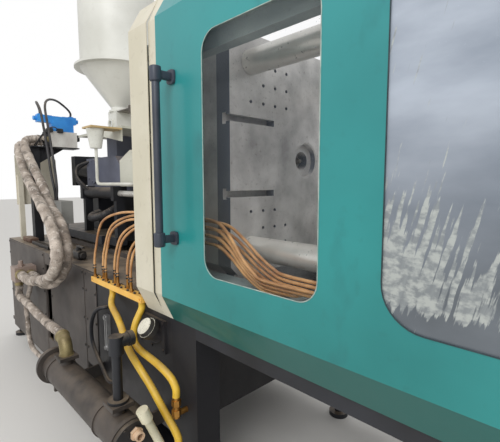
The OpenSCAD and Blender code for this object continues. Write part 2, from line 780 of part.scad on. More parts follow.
module guard_headers() color([0.5, 0.56, 0.56]) {
    both_sides() {
        box(column_x0, base_half_l - 10, header_y, header_y1, header_z0, header_z1);
        box(column_x0, base_half_l - 10, header_y1 - cut, header_y1 + track_t,
            track_z0, track_z0 + track_h);
    }
    for (x = [column_x0, column_x1, base_half_l - 70])
        box(x, x + 60, -header_y - cut, header_y + cut, header_z1 - cross_tube_h, header_z1);
}

// Outline of the folded guard sheet on the +Y side
module fold(front, wall) {
    polygon([[lip_y, door_z0], [front, fold_z0], [front, fold_z1], [crown_y, door_z1],
        [crown_y - wall, door_z1], [front - wall, fold_z1], [front - wall, fold_z0],
        [lip_y - wall, door_z0]]);
}

module guard_posts() color([0.84, 0.81, 0.73])
    both_sides() {
        along_x(post_x0, post_x0 + post_w)
            fold(guard_y, sheet_t);
        along_x(post_x0 + post_w - cut, door_x0 - post_gap)
            fold(guard_y - 10, sheet_t);
        box(post_x0, post_x0 + sheet_t, header_y1, guard_y - 1, fold_z0, header_z0 + 30);
        box(column_x0, column_x0 + 60, header_y1, guard_y - sheet_t + cut, 1700, 1740);
    }

module clamp_covers() color([0.2, 0.55, 0.55]) {
    x1 = base_half_l - 10;
    both_sides() {
        box(column_x1, x1, header_y1, header_y1 + sheet_t, base_z1, track_z0 - 10);
        // Edge of the lid, standing on the header
        box(column_x1, x1 + sheet_t, header_y1 - sheet_t, header_y1, header_z1, clamp_lid_z1);
    }
    box(column_x1, column_x1 + sheet_t, -header_y1, header_y1, header_z1, clamp_lid_z1);
    difference() {
        box(x1, x1 + sheet_t, -header_y1, header_y1, base_z1, clamp_lid_z1);
        for (z = [1150 : 60 : 1450], y = [-400, 100])
            box(x1 - cut, x1 + sheet_t + cut, y, y + 300, z, z + 18);
    }
    box(column_x1, x1 + sheet_t, -header_y1, header_y1, clamp_lid_z1 - sheet_t, clamp_lid_z1);
}

// Windows sit behind the sheet, lapped by its edge
module window_row(grow)
    for (w = [[window_1_x, window_1_w, window_1_r], [window_2_x, window_2_w, window_2_r]])
        rounded(w[0] - grow, w[0] + w[1] + grow, window_z0 - grow, window_z1 + grow,
            w[2] + grow / 2);

module door_shell() {
    x0 = door_x0;
    x1 = door_x0 + door_l;
    in_y = guard_y - sheet_t;
    difference() {
        along_x(x0, x1)
            fold(guard_y, sheet_t);
        along_y(guard_y - 10, guard_y + 10)
            window_row(0);
    }
    // Welded stiffening frame inside the sheet
    for (z = [fold_z0 + 20, fold_z1 - 50])
        box(x0 + 5, x1 - 5, in_y - frame_tube, in_y, z, z + frame_tube);
    for (x = [x0 + 5, window_2_x - 100, x1 - 35])
        box(x, x + frame_tube, in_y - frame_tube, in_y, fold_z0 + 20, fold_z1 - 21);
    // Hangers that hook over the track
    for (x = [x0 + 120, x1 - 200]) {
        box(x, x + 80, header_y1 + track_t + 2, in_y - frame_tube + cut,
            track_z0 - 10, hanger_z1);
        box(x, x + 80, header_y1 + 6, header_y1 + track_t + 3,
            track_z0 + track_h + track_gap, hanger_z1);
    }
}

module door_panes()
    along_y(guard_y - sheet_t - pane_t, guard_y - sheet_t)
        window_row(pane_lap);

module door_pull() {
    for (z = [-1, 1] * handle_pitch / 2)
        translate([handle_x, 0, handle_z + z]) {
            rod_y(guard_y, guard_y + 9, 25);
            rod_y(guard_y + 8, handle_y, 16);
            translate([0, handle_y, -26])
                cylinder(h = 52, r = handle_r + 5.5);
        }
    translate([handle_x, handle_y, handle_z - handle_pitch / 2 - 20])
        cylinder(h = handle_pitch + 40, r = handle_r);
}

module rear_door() color([0.14, 0.57, 0.57])
    mirror([0, 1, 0])
        door_shell();

module rear_door_windows() color([0.75, 0.8, 0.82, 0.5])
    mirror([0, 1, 0])
        door_panes();

module rear_door_handle() color([0.2, 0.22, 0.26])
    mirror([0, 1, 0])
        door_pull();

module front_door() color([0.14, 0.57, 0.57])
    door_shell();

module front_door_windows() color([0.75, 0.8, 0.82, 0.5])
    door_panes();

module front_door_handle() color([0.2, 0.22, 0.26])
    door_pull();

// Injection unit
module carriage_frame() color([0.16, 0.17, 0.2]) {
    box(frame_x0, frame_x1, -frame_half_w, frame_half_w, frame_z0, frame_z1);
    both_sides() {
        for (x = [frame_x0 + 40, housing_x0 + 320])
            box(x, x + 200, carriage_rail_y - 40, carriage_rail_y + 40,
                base_z1 + rail_h + shoe_gap, frame_z0 + cut);
        // Posts under the heads of the carriage cylinders
        for (x = [carriage_cylinder_x[0] - 12, carriage_cylinder_x[1] - 30])
            box(x, x + 42, carriage_cylinder_y - 30, carriage_cylinder_y + 30,
                x < frame_x1 ? frame_z1 - cut : frame_z0, carriage_cylinder_z - head_half);
        box(frame_x1 - cut, carriage_cylinder_x[1] + 12, carriage_cylinder_y - 40,
            carriage_cylinder_y + 40, frame_z0, frame_z1);
    }
    for (x = [housing_x0 + 30, housing_x1 - 150])
        box(x, x + 120, -housing_half_w + 20, housing_half_w - 20, frame_z1 - cut, housing_z0);
}

module feed_housing() color([0.36, 0.37, 0.48])
    difference() {
        union() {
            along_y(-housing_half_w, housing_half_w)
                polygon([[housing_x0, housing_z0], [housing_x1, housing_z0],
                    [housing_x1, housing_z1 - 75], [housing_x1 - 75, housing_z1],
                    [housing_x0, housing_z1]]);
            box(hopper_x - 90, hopper_x + 90, -90, 90, housing_z1 - cut,
                platform_z1 - platform_t);
            // Round covers on the sides, with their bolts
            both_sides()
                translate([housing_x0 + 130, 0, axis_z - 15]) {
                    rod_y(housing_half_w - cut, housing_half_w + 12, 100);
                    for (a = [0 : 45 : 315])
                        rotate([0, a, 0])
                            translate([82, 0, 0])
                                rod_y(housing_half_w + 11, housing_half_w + 18, 7);
                }
        }
        translate([0, 0, axis_z])
            rod_x(housing_x0 - cut, housing_x1 + cut, barrel_r + round_gap);
        translate([hopper_x, 0, axis_z])
            cylinder(h = 400, r = throat_r);
    }

module barrel() color([0.5, 0.48, 0.46])
    translate([0, 0, axis_z])
        difference() {
            union() {
                rod_x(housing_x0 - 20, barrel_x1 - 90, barrel_r);
                rod_x(barrel_x1 - 91, barrel_x1, barrel_r - 14);
                rod_x(barrel_x1 - 1, nozzle_x1 - 40, 24);
                translate([nozzle_x1 - 41, 0, 0])
                    rotate([0, 90, 0])
                        cylinder(h = 41, r1 = 24, r2 = 8);
            }
            rod_x(housing_x0 - 21, barrel_x1 - 60, screw_r + screw_play);
            rod_x(barrel_x1 - 61, nozzle_x1 + cut, 3);
            translate([hopper_x, 0, 0])
                cylinder(h = barrel_r + cut, r = throat_r);
        }

module heater_bands() color([0.58, 0.57, 0.54])
    translate([0, 0, axis_z])
        for (x = [cover_x0 + 20 : 190 : barrel_x1 - 300])
            difference() {
                union() {
                    rod_x(x, x + 120, barrel_r + 9);
                    box(x + 30, x + 90, -18, 18, barrel_r, barrel_r + 34);
                }
                rod_x(x - cut, x + 121, barrel_r + round_gap);
            }

module barrel_cover() color([0.83, 0.82, 0.76]) {
    w = cover_half_w;
    z0 = axis_z - 130;
    z1 = axis_z + 120;
    difference() {
        along_x(cover_x0, cover_x0 + cover_l)
            polygon([[-w, z0], [-w, z1 - cover_bevel], [-w + cover_bevel, z1],
                [w - cover_bevel, z1], [w, z1 - cover_bevel], [w, z0]]);
        along_x(cover_x0 + 3, cover_x0 + cover_l + cut)
            polygon([[-w + 2, z0 - cut], [-w + 2, z1 - cover_bevel - 1],
                [-w + cover_bevel + 1, z1 - 2], [w - cover_bevel - 1, z1 - 2],
                [w - 2, z1 - cover_bevel - 1], [w - 2, z0 - cut]]);
        translate([0, 0, axis_z])
            rod_x(cover_x0 - cut, cover_x0 + 4, barrel_r + 4);
        box(cover_x0 - cut, cover_x0 + 4, -barrel_r - 4, barrel_r + 4, z0 - cut, axis_z);
    }
    // Stays that join the cover to the feed housing
    both_sides()
        box(housing_x1, cover_x0 + cut, housing_half_w - 60, housing_half_w - 30,
            housing_z0 + 50, housing_z0 + 90);
}

module hydraulic_cylinders() color([0.25, 0.25, 0.27]) {
    both_sides() {
        translate([0, carriage_cylinder_y, carriage_cylinder_z])
            difference() {
                union() {
                    rod_x(carriage_cylinder_x[0], carriage_cylinder_x[1], carriage_cylinder_r);
                    for (x = [carriage_cylinder_x[0] - 12, carriage_cylinder_x[1] - 30])
                        box(x, x + 42, -head_half, head_half, -head_half, head_half);
                }
                rod_x(carriage_cylinder_x[0] + 20, carriage_cylinder_x[1] + 13,
                    carriage_rod_r + rod_play);
            }
        translate([0, injection_cylinder_y, axis_z])
            difference() {
                rod_x(housing_x0 - injection_cylinder_l, housing_x0, injection_cylinder_r);
                rod_x(housing_x0 - injection_cylinder_l - cut, housing_x0 - 15,
                    injection_rod_r + rod_play);
            }
    }
}

module carriage_rods() color([0.8, 0.8, 0.8])
    both_sides()
        translate([0, carriage_cylinder_y, carriage_cylinder_z]) {
            rod_x(carriage_rod_x0, -fixed_t, carriage_rod_r);
            rod_x(-fixed_t - 30, -fixed_t, carriage_rod_r + 18);
        }

module injection_plate() color([0.22, 0.23, 0.26]) {
    difference() {
        union() {
            box(injection_plate_x0, injection_plate_x1, -240, 240, axis_z - 130, axis_z + 130);
            translate([0, 0, axis_z]) {
                rod_x(injection_plate_x0 - motor_l, injection_plate_x0 + cut, motor_r);
                for (a = [0 : 60 : 300])
                    rotate([a, 0, 0])
                        translate([0, 0, motor_r])
                            rod_x(injection_plate_x0 - motor_l + 60, injection_plate_x0 - 90, 24);
            }
        }
        translate([0, 0, axis_z])
            rod_x(injection_plate_x0 - 60, injection_plate_x1 + cut, screw_r + rod_play);
    }
    both_sides()
        translate([0, injection_cylinder_y, axis_z])
            rod_x(injection_plate_x1 - cut, housing_x0 - 20, injection_rod_r);
}

module screw() color([0.72, 0.72, 0.7])
    translate([0, 0, axis_z]) {
        rod_x(injection_plate_x0 - 55, housing_x0 - 30, screw_r);
        // Flighted part: a slimmer root with a land at every turn
        rod_x(housing_x0 - 31, barrel_x1 - 110, screw_r - 8);
        for (x = [housing_x0 - 20 : 70 : barrel_x1 - 150])
            rod_x(x, x + 9, screw_r);
        translate([barrel_x1 - 111, 0, 0])
            rotate([0, 90, 0])
                cylinder(h = 46, r1 = screw_r - 8, r2 = 4);
    }

// Hopper
module hopper_platform() color([0.8, 0.75, 0.62]) {
    x0 = hopper_x - 260;
    x1 = housing_x1 + 40;
    w = platform_half_w;
    difference() {
        union() {
            box(x0, x1, -w, w, platform_z1 - platform_t, platform_z1);
            both_sides()
                along_y(w - 8, w)
                    polygon([[x0, platform_z1 - platform_t - 4], [x0, platform_z1 - 1],
                        [x1, platform_z1 - 1], [x1, platform_z1 - 110],
                        [hopper_x + 50, platform_z1 - platform_t - 4]]);
        }
        translate([hopper_x, 0, platform_z1 - platform_t - 10])
            cylinder(h = 40, r = throat_r);
    }
}

module magnet_block() color([0.87, 0.86, 0.82])
    difference() {
        union() {
            translate([hopper_x, 0, 0]) {
                box(-magnet_half - 25, magnet_half + 25, -magnet_half - 25, magnet_half + 25,
                    platform_z1, platform_z1 + 14);
                box(-magnet_half, magnet_half, -magnet_half, magnet_half,
                    platform_z1 + 13, magnet_z1);
                translate([-20, 0, 2020])
                    rod_y(-magnet_half - 14, -magnet_half + cut, 42);
            }
        }
        translate([hopper_x, 0, platform_z1 - cut])
            cylinder(h = 240, r = throat_r);
        translate([hopper_x - 20, 0, 2020])
            rod_y(-magnet_half - 15, -30, 26);
    }

module slide_gate() color([0.7, 0.7, 0.7])
    difference() {
        union() {
            translate([hopper_x, 0, 0])
                box(-magnet_half + 8, 260, -62, 62, gate_z0, gate_z0 + gate_t);
            translate([hopper_x + 258, 0, 0])
                box(0, 14, -62, 62, gate_z0 - 30, gate_z0 + 30);
        }
        translate([hopper_x, 0, gate_z0 - cut])
            cylinder(h = gate_t + 2, r = throat_r);
    }

module hopper_body() color([0.9, 0.9, 0.87])
    translate([hopper_x, 0, 0]) {
        rotate_extrude($fn = 96)
            polygon([[throat_r, neck_z0], [92, neck_z0], [92, neck_z0 + 14],
                [neck_r, neck_z0 + 14], [neck_r, neck_z0 + 36],
                [hopper_r, hopper_flange_z - flange_t], [hopper_flange_r, hopper_flange_z - flange_t],
                [hopper_flange_r, hopper_flange_z + flange_t], [hopper_r, hopper_flange_z + flange_t],
                [hopper_r, hopper_rim_z - 12], [hopper_r + 12, hopper_rim_z - 12],
                [hopper_r + 12, hopper_rim_z], [hopper_r - hopper_wall, hopper_rim_z],
                [hopper_r - hopper_wall, hopper_flange_z],
                [throat_r, neck_z0 + 34]]);
        // Side blocks that hold the neck above the gate's slot
        for (y = [-1, 1])
            translate([0, y * 71, 0])
                box(-magnet_half + 5, magnet_half - 5, -7, 7, magnet_z1, neck_z0 + 6);
        // Bracket and ears of the lid's hinge
        translate([-hinge_out, 0, 0])
            difference() {
                union() {
                    box(-16, 30, -40, 40, hopper_rim_z - 60, hopper_rim_z - 12);
                    box(-16, 12, -40, 40, hopper_rim_z - 13, hopper_rim_z + 8);
                }
                box(-17, 13, -25, 25, hopper_rim_z - 20, hopper_rim_z + 9);
                translate([0, 0, hopper_rim_z - 2])
                    rod_y(-41, 41, hinge_r + rod_play);
            }
    }

module hopper_lid() color([0.88, 0.88, 0.85])
    translate([hopper_x, 0, 0]) {
        translate([0, 0, hopper_rim_z + round_gap]) {
            rotate_extrude($fn = 96)
                polygon([[0, lid_t + 40], [60, lid_t + 36], [hopper_r - 20, lid_t],
                    [hopper_r + 10, lid_t], [hopper_r + 10, 0], [hopper_r + 6, 0],
                    [hopper_r + 6, lid_t - 4], [hopper_r - 22, lid_t - 4], [58, lid_t + 31],
                    [0, lid_t + 35]]);
            translate([0, 0, lid_t + 37])
                cylinder(h = 40, r = 22);
        }
        // Hinge knuckle, its pin and the arm to the lid
        translate([-hinge_out, 0, hopper_rim_z - 2]) {
            rod_y(-40, 40, hinge_r);
            rod_y(-24, 24, hinge_r + 6);
            box(-5, 5, -24, 24, 0, lid_t);
            box(-5, 24, -24, 24, 12, lid_t);
        }
    }

// Condensate cup with its tan lid, and the thin pipe below it
module drip_cup() color([0.9, 0.9, 0.88])
    translate([housing_x1 - 20, -cover_half_w - 100, 0]) {
        translate([0, 0, 1766])
            cylinder(h = 134, r1 = 38, r2 = 60);
        box(-75, 75, -60, cover_half_w + 100 - platform_half_w, 1899, 1911);
        hose(cup_pipe_route, 11, 8, 3);
    }

// Stand, valves and wiring at the injection end
module valve_stand() color([0.15, 0.16, 0.19]) {
    box(-2640, -2560, -540, -470, base_z1, 1840);
    box(-2680, -2520, -540, -140, 1840, 1850);
    along_x(-2604, -2596)
        polygon([[-471, 1700], [-471, 1841], [-250, 1841]]);
}

module rear_guard_plate() color([0.86, 0.85, 0.8]) {
    x = base_x0 + 150;
    y0 = -base_half_w + 50;
    y1 = y0 + 350;
    along_x(x - 6, x)
        polygon([[y0, 1330], [y1, 1330], [y1, 1750], [y1 - 30, 1780], [y0, 1780]]);
    box(x, x + 40, y0 + 10, y0 + 50, base_z1, 1600);
}

module valve_blocks() color([0.9, 0.88, 0.84]) {
    box(-2660, -2540, -380, -150, 1850, 1990);
    // Distribution block on the base's side
    box(-2300, -2172, -base_half_w - 154, -base_half_w - panel_t, 758, 872);
    translate([-2236, -base_half_w - 95, 871]) {
        cylinder(h = 44, r = 17);
        cylinder(h = 16, r = 26, $fn = 6);
    }
}

module solenoid_valve() color([0.2, 0.58, 0.92]) {
    box(-2640, -2560, -360, -170, 1990, 2066);
    for (span = [[-470, -350], [-260, -140]])
        box(-2632, -2568, span[0], span[1], 2066, 2130);
    box(-2636, -2564, -350, -260, 2066, 2126);
    translate([-2600, 0, 2098]) {
        rod_y(-496, -470, 19);
        rod_y(-140, -118, 19);
    }
    for (y = [-440, -180])
        box(-2620, -2580, y - 20, y + 20, 2129, 2138);
}

module valve_cables() color([0.12, 0.12, 0.13])
    for (route = cable_routes)
        hose(route, 9, 8, 3);

module terminal_box() color([0.55, 0.55, 0.54]) {
    y0 = -base_half_w + 50;
    box(-2020, -1680, y0, y0 + 80, 1240, 1400);
    box(-1740, -1715, y0 + 30, y0 + 55, base_z1, 1241);
}

module wrapped_hoses() color([0.72, 0.68, 0.64]) {
    hose(big_route_a, big_hose_r, 10, 3);
    hose(big_route_b, big_hose_r, 10, 3);
    hose(cooler_route, 26, 10, 3);
    hose(drain_route, 17, 8, 3);
}

// Oil cooler and its pipes
module cooler_shell() color([0.3, 0.28, 0.26]) {
    translate([0, -cooler_y, cooler_z]) {
        rod_x(cooler_x0 + 20, cooler_x1 - 20, cooler_r);
        for (x = [cooler_x0 + 20, cooler_x1 - 40])
            rod_x(x, x + 20, cooler_flange_r);
        for (x = [cooler_x0 + 110, cooler_x1 - 240])
            rod_x(x, x + 12, cooler_r + 5);
    }
    for (x = cooler_nozzles)
        translate([x, -cooler_y, 0]) {
            translate([0, 0, cooler_z])
                cylinder(h = cooler_nozzle_z1 - cooler_z - 14, r = 30);
            box(-46, 46, -46, 46, cooler_nozzle_z1 - 18, cooler_nozzle_z1);
        }
    // Bracket arms from the tank's side
    for (x = [-960, -330])
        along_x(x, x + 14)
            polygon([[-base_half_w + 2, tank_z0 + 10], [-base_half_w + 2, tank_z0 + 80],
                [-cooler_y + 40, cooler_z - 30], [-cooler_y - 50, cooler_z - 40],
                [-cooler_y - 50, cooler_z - 90], [-cooler_y + 40, cooler_z - 100]]);
}

module cooler_caps() color([0.16, 0.16, 0.17]) {
    translate([0, -cooler_y, cooler_z])
        for (x = [cooler_x0, cooler_x1 - 20]) {
            rod_x(x, x + 20, cooler_flange_r - 6);
            for (a = [30 : 60 : 330])
                rotate([a, 0, 0])
                    translate([0, 0, cooler_flange_r - 17])
                        rod_x(x == cooler_x0 ? x - 5 : x, x == cooler_x0 ? x + 20 : x + 25, 7);
        }
    // Water ports
    for (z = [-1, 1] * cooler_port_z)
        translate([cooler_x1 - cut, -cooler_y, cooler_z + z])
            difference() {
                union() {
                    rotate([0, 90, 0])
                        cylinder(h = 20, r = 26, $fn = 6);
                    rod_x(0, 42, 19);
                }
                rod_x(12, 43, 13);
            }
}

module cooler_pipe() color([0.13, 0.14, 0.17]) {
    translate([cooler_nozzles[1], -cooler_y, 0]) {
        translate([0, 0, cooler_nozzle_z1]) {
            cylinder(h = 12, r = 42);
            cylinder(h = oil_tee_z - cooler_nozzle_z1, r = oil_pipe_r);
        }
        translate([0, 0, oil_tee_z - 50])
            cylinder(h = 76, r = 30);
        translate([0, 0, oil_tee_z])
            rod_y(0, 66, 27);
        translate([0, 0, oil_tee_z])
            rod_y(50, 72, 31);
    }
    hose(tee_hose_route, 16, 8, 3);
    hose(gauge_loop_route, 11, 8, 3);
}

// Water supply
module yellow_hoses() color([0.85, 0.68, 0.22])
    translate([0, -base_half_w, 0]) {
        hose(yellow_route_a, yellow_hose_r, 10, 3);
        hose(yellow_route_b, yellow_hose_r, 10, 3);
    }

module water_manifold() color([0.94, 0.74, 0.33])
    difference() {
        box(manifold_x[0], manifold_x[1], -manifold_y1, -base_half_w,
            manifold_z1 - manifold_h, manifold_z1);
        for (x = [manifold_x[0] + 20, manifold_x[1] - 12])
            translate([x, 0, manifold_z1 - manifold_h / 2])
                rod_y(-manifold_y1 - cut, -manifold_y1 + 6, 6);
    }

module brass_fittings() color([0.72, 0.52, 0.24]) {
    for (i = [0 : tail_count - 1])
        translate([tail_at(i).x, tail_at(i).y, manifold_z1]) {
            cylinder(h = 18, r = 9, $fn = 6);
            cylinder(h = tail_h, r = 6);
            for (z = [22, 30, 38])
                translate([0, 0, z])
                    cylinder(h = 5, r = 7.5);
        }
    // Coupling at the lower end of the short supply hose
    coupling_out = 50;
    translate([-120, -base_half_w - coupling_out, 0]) {
        translate([0, 0, 560])
            cylinder(h = 90, r = 15);
        for (z = [570, 612])
            translate([0, 0, z])
                cylinder(h = 26, r = 20, $fn = 6);
        translate([0, 0, 575])
            rod_y(0, coupling_out, 12);
    }
}

module water_hoses() color([0.8, 0.6, 0.38])
    for (k = [0 : tail_count / 2 - 1])
        hose(water_route(k), water_hose_r, 8, 2);

// Open waste pipe, the riser it joins and the ribbed end of the long supply hose
module pvc_pipe() color([0.88, 0.86, 0.75]) {
    riser_out = 55;
    top = [-120, -base_half_w - riser_out - 150, 661];
    joint = [-105, -base_half_w - riser_out, 300];
    straight_pipe(top, joint, 17);
    straight_pipe(top, top + 0.13 * (joint - top), 24);
    translate([joint.x, joint.y, 0]) {
        translate([0, 0, 205])
            cylinder(h = 245, r = 20);
        for (z = [404, 418, 432])
            translate([0, 0, z])
                cylinder(h = 7, r = 24);
        translate([0, 0, 230])
            rod_y(0, riser_out, 18);
    }
}

// A straight pipe between two points
module straight_pipe(a, b, r) {
    d = b - a;
    translate(a)
        rotate([0, acos(d.z / norm(d)), atan2(d.y, d.x)])
            cylinder(h = norm(d), r = r);
}

module filler_cap() color([0.85, 0.83, 0.76])
    translate(cap_foot)
        rotate([cap_tilt, 0, 0])
            translate([0, 0, cap_neck_l]) {
                cylinder(h = 26, r = cap_r);
                translate([0, 0, 25])
                    cylinder(h = 20, r1 = cap_r - 2, r2 = cap_r - 8);
            }

module level_gauge() color([0.75, 0.75, 0.76]) {
    y = base_half_w - 2;
    difference() {
        box(-876, -844, -y - 22, -y, 600, 800);
        box(-868, -852, -y - 23, -y - 12, 630, 770);
    }
    for (z = [614, 786])
        translate([-860, 0, z])
            rod_y(-y - 30, -y - 21, 11);
}

// Pump set inside the base
module pump_motor() color([0.35, 0.4, 0.42]) {
    translate([pump_x, 0, pump_z])
        difference() {
            union() {
                rod_x(0, 51, 150);
                rod_x(50, 550, 165);
                for (x = [80 : 60 : 500])
                    rod_x(x, x + 12, 178);
                // Bell housing and pump
                rod_x(549, 710, 120);
                rod_x(709, 950, 90);
            }
            rod_x(551, 700, 80);
            rod_x(510, 805, shaft_r + rod_play);
        }
    for (x = [pump_x + 100, pump_x + 440])
        box(x, x + 60, -140, 140, base_z0 + base_wall, pump_z - 120);
    box(pump_x + 810, pump_x + 900, -60, 60, base_z0 + base_wall, pump_z - 70);
}

module pump_coupling() color([0.6, 0.6, 0.6])
    translate([pump_x, 0, pump_z]) {
        rod_x(512, 803, shaft_r);
        rod_x(580, 670, 55);
    }

// Operator's side
module control_panel() color([0.75, 0.75, 0.72]) {
    difference() {
        box(panel_box_x[0], panel_box_x[1], panel_box_y0, panel_box_y1,
            panel_box_z[0], panel_box_z[1]);
        box(panel_box_x[0] + 60, panel_box_x[1] - 60, panel_box_y1 - 6, panel_box_y1 + cut,
            panel_box_z[0] + 230, panel_box_z[1] - 40);
        translate([stop_x, 0, stop_z])
            rod_y(panel_box_y1 - 40, panel_box_y1 + cut, swivel_r + rod_play);
    }
    // Keypad
    box(panel_box_x[0] + 60, panel_box_x[1] - 160, panel_box_y1 - cut, panel_box_y1 + 2,
        panel_box_z[0] + 40, panel_box_z[0] + 200);
    // Collar round the stop button
    translate([stop_x, 0, stop_z])
        difference() {
            rod_y(panel_box_y1 - cut, panel_box_y1 + collar_t, 30);
            rod_y(panel_box_y1 - 2 * cut, panel_box_y1 + collar_t + cut, swivel_r + rod_play);
        }
    // Swivel pin and the brackets that carry the box
    translate([swivel[0], swivel[1], panel_box_z[0] + 60])
        cylinder(h = panel_box_z[1] - panel_box_z[0] - 120, r = swivel_r);
    for (z = [panel_box_z[0] + 60, panel_box_z[1] - 90])
        box(swivel[0] - 45, swivel[0] + 20, swivel[1] - 20, panel_box_y0 + cut, z, z + 30);
}

module e_stop() color([0.8, 0.12, 0.1])
    translate([stop_x, 0, stop_z]) {
        rod_y(panel_box_y1 - 32, panel_box_y1 + 30, swivel_r);
        rod_y(panel_box_y1 + 25, panel_box_y1 + 45, button_r);
    }

module cabinet_door() color([0.5, 0.49, 0.47]) {
    x0 = base_x0 + 120;
    x1 = base_x0 + 1010;
    y0 = cabinet_y0;
    difference() {
        box(x0, x1, y0, y0 + 22, 360, 900);
        box(x0 + 2, x1 - 2, y0 - cut, y0 + 20, 362, 898);
        translate([switch_x, 0, switch_z])
            rod_y(y0, y0 + 23, 14 + rod_play);
    }
    for (z = [420, 800])
        translate([x0 - 6, y0 + 12, z])
            cylinder(h = 60, r = 7);
}

module main_switch() color([0.85, 0.2, 0.12])
    translate([switch_x, 0, switch_z]) {
        rod_y(cabinet_y0 + 4, cabinet_y0 + 40, 14);
        translate([0, cabinet_y0 + 24, 0]) {
            rod_y(0, 12, 32);
            box(-9, 9, 11, 34, -34, 34);
        }
    }

injection_base();
clamp_base();
levelling_feet();
oil_tank();
side_panels();
fixed_platen();
tail_platen();
tie_bars();
clamp_cylinder();
moving_platen();
clamp_ram();
ejector_plate();
guard_columns();
guard_headers();
guard_posts();
clamp_covers();
rear_door();
rear_door_windows();
rear_door_handle();
front_door();
front_door_windows();
front_door_handle();
carriage_frame();
feed_housing();
barrel();
heater_bands();
barrel_cover();
hydraulic_cylinders();
hopper_platform();
magnet_block();
hopper_body();
hopper_lid();
slide_gate();
drip_cup();
injection_plate();
screw();
carriage_rods();
valve_stand();
rear_guard_plate();
valve_blocks();
solenoid_valve();
valve_cables();
terminal_box();
wrapped_hoses();
cooler_shell();
cooler_caps();
cooler_pipe();
yellow_hoses();
brass_fittings();
water_manifold();
water_hoses();
pvc_pipe();
filler_cap();
level_gauge();
pump_motor();
pump_coupling();
control_panel();
e_stop();
cabinet_door();
main_switch();
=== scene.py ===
import bmesh
import bpy
import numpy as np
from mathutils import Matrix


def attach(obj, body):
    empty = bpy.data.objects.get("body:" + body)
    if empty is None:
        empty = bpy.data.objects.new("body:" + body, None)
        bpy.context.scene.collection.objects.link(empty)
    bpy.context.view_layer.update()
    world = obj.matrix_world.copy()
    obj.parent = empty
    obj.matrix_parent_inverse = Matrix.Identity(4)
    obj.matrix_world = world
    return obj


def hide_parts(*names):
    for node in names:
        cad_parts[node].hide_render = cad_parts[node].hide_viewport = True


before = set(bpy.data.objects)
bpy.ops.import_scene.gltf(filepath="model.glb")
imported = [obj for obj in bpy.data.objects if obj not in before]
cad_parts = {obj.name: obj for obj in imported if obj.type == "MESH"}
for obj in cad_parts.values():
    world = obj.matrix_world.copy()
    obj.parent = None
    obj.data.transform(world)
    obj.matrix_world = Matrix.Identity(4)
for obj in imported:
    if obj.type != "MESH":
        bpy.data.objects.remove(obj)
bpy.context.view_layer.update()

# Camera
# A hand-held camera at eye height, close to the guard door on the side with the oil
# cooler, looking along the machine towards the injection end and a little down.
FOCAL_PIXELS = 378.37
PHOTO_WIDTH = 500
SENSOR_WIDTH = 36.0
CAMERA_PLACE = (1.150, -1.520, 1.530)
YAW_PITCH_ROLL = (45.46, 5.84, -0.13)
yaw, pitch, roll = np.radians(YAW_PITCH_ROLL)
forward = np.array([-np.sin(yaw) * np.cos(pitch), np.cos(yaw) * np.cos(pitch), -np.sin(pitch)])
level = np.array([np.cos(yaw), np.sin(yaw), 0.0])
upright = np.cross(level, forward)
right = np.cos(roll) * level + np.sin(roll) * upright
above = -np.sin(roll) * level + np.cos(roll) * upright
camera = bpy.data.objects.new("camera", bpy.data.cameras.new("camera"))
bpy.context.scene.collection.objects.link(camera)
bpy.context.scene.camera = camera
camera.data.sensor_fit = "HORIZONTAL"
camera.data.sensor_width = SENSOR_WIDTH
camera.data.lens = FOCAL_PIXELS * SENSOR_WIDTH / PHOTO_WIDTH
camera.data.clip_start = 0.02
camera.data.clip_end = 200
turned_axes = Matrix(np.array([right, above, -forward]).T.tolist()).to_4x4()
camera.matrix_world = Matrix.Translation(CAMERA_PLACE) @ turned_axes

# Supply hoses
# Two yellow rubber hoses drop from the manifold bar and bend round the oil pipe to the
# pipes near the floor. They are extruded tube, specked and dulled with grime.
SUPPLY_HOSE_RADIUS = 0.016
EDGE_WIDTH = 0.003
GRAIN_DEPTH = 0.002
SHARP_ANGLE = np.radians(38)


def srgb(r, g, b):
    """A colour on the 0 to 255 scale of a photograph, turned into linear light."""
    c = np.array([r, g, b]) / 255
    return [*np.where(c < 0.04045, c / 12.92, ((c + 0.055) / 1.055) ** 2.4).tolist(), 1.0]


def noise(tree, place, scale, detail=5.0, stretch=(1, 1, 1)):
    """Cloudy noise on the object's own coordinates, stretched by a share along each axis."""
    mapping = tree.nodes.new("ShaderNodeMapping")
    mapping.inputs["Scale"].default_value = stretch
    cloud = tree.nodes.new("ShaderNodeTexNoise")
    cloud.inputs["Scale"].default_value = scale
    cloud.inputs["Detail"].default_value = detail
    tree.links.new(place, mapping.inputs["Vector"])
    tree.links.new(mapping.outputs["Vector"], cloud.inputs["Vector"])
    return cloud.outputs[0]


def ramp(tree, value, low, high, from_tone=(0, 0, 0, 1), to_tone=(1, 1, 1, 1)):
    """A value turned into a blend of two tones between a low and a high point."""
    node = tree.nodes.new("ShaderNodeValToRGB")
    ends = node.color_ramp.elements
    ends[0].position, ends[1].position = low, high
    ends[0].color, ends[1].color = from_tone, to_tone
    tree.links.new(value, node.inputs["Fac"])
    return node.outputs["Color"]


def product(tree, first, second):
    """One mask times another, or times a plain number."""
    node = tree.nodes.new("ShaderNodeMath")
    node.operation = "MULTIPLY"
    tree.links.new(first, node.inputs[0])
    if isinstance(second, float):
        node.inputs[1].default_value = second
    else:
        tree.links.new(second, node.inputs[1])
    return node.outputs[0]


def layer(tree, mask, below, tone):
    """A tone laid over the colour below it, as thick as the mask says."""
    node = tree.nodes.new("ShaderNodeMix")
    node.data_type = "RGBA"
    tree.links.new(mask, node.inputs[0])
    tree.links.new(below, node.inputs[6])
    if isinstance(tone, list):
        node.inputs[7].default_value = tone
    else:
        tree.links.new(tone, node.inputs[7])
    return node.outputs[2]


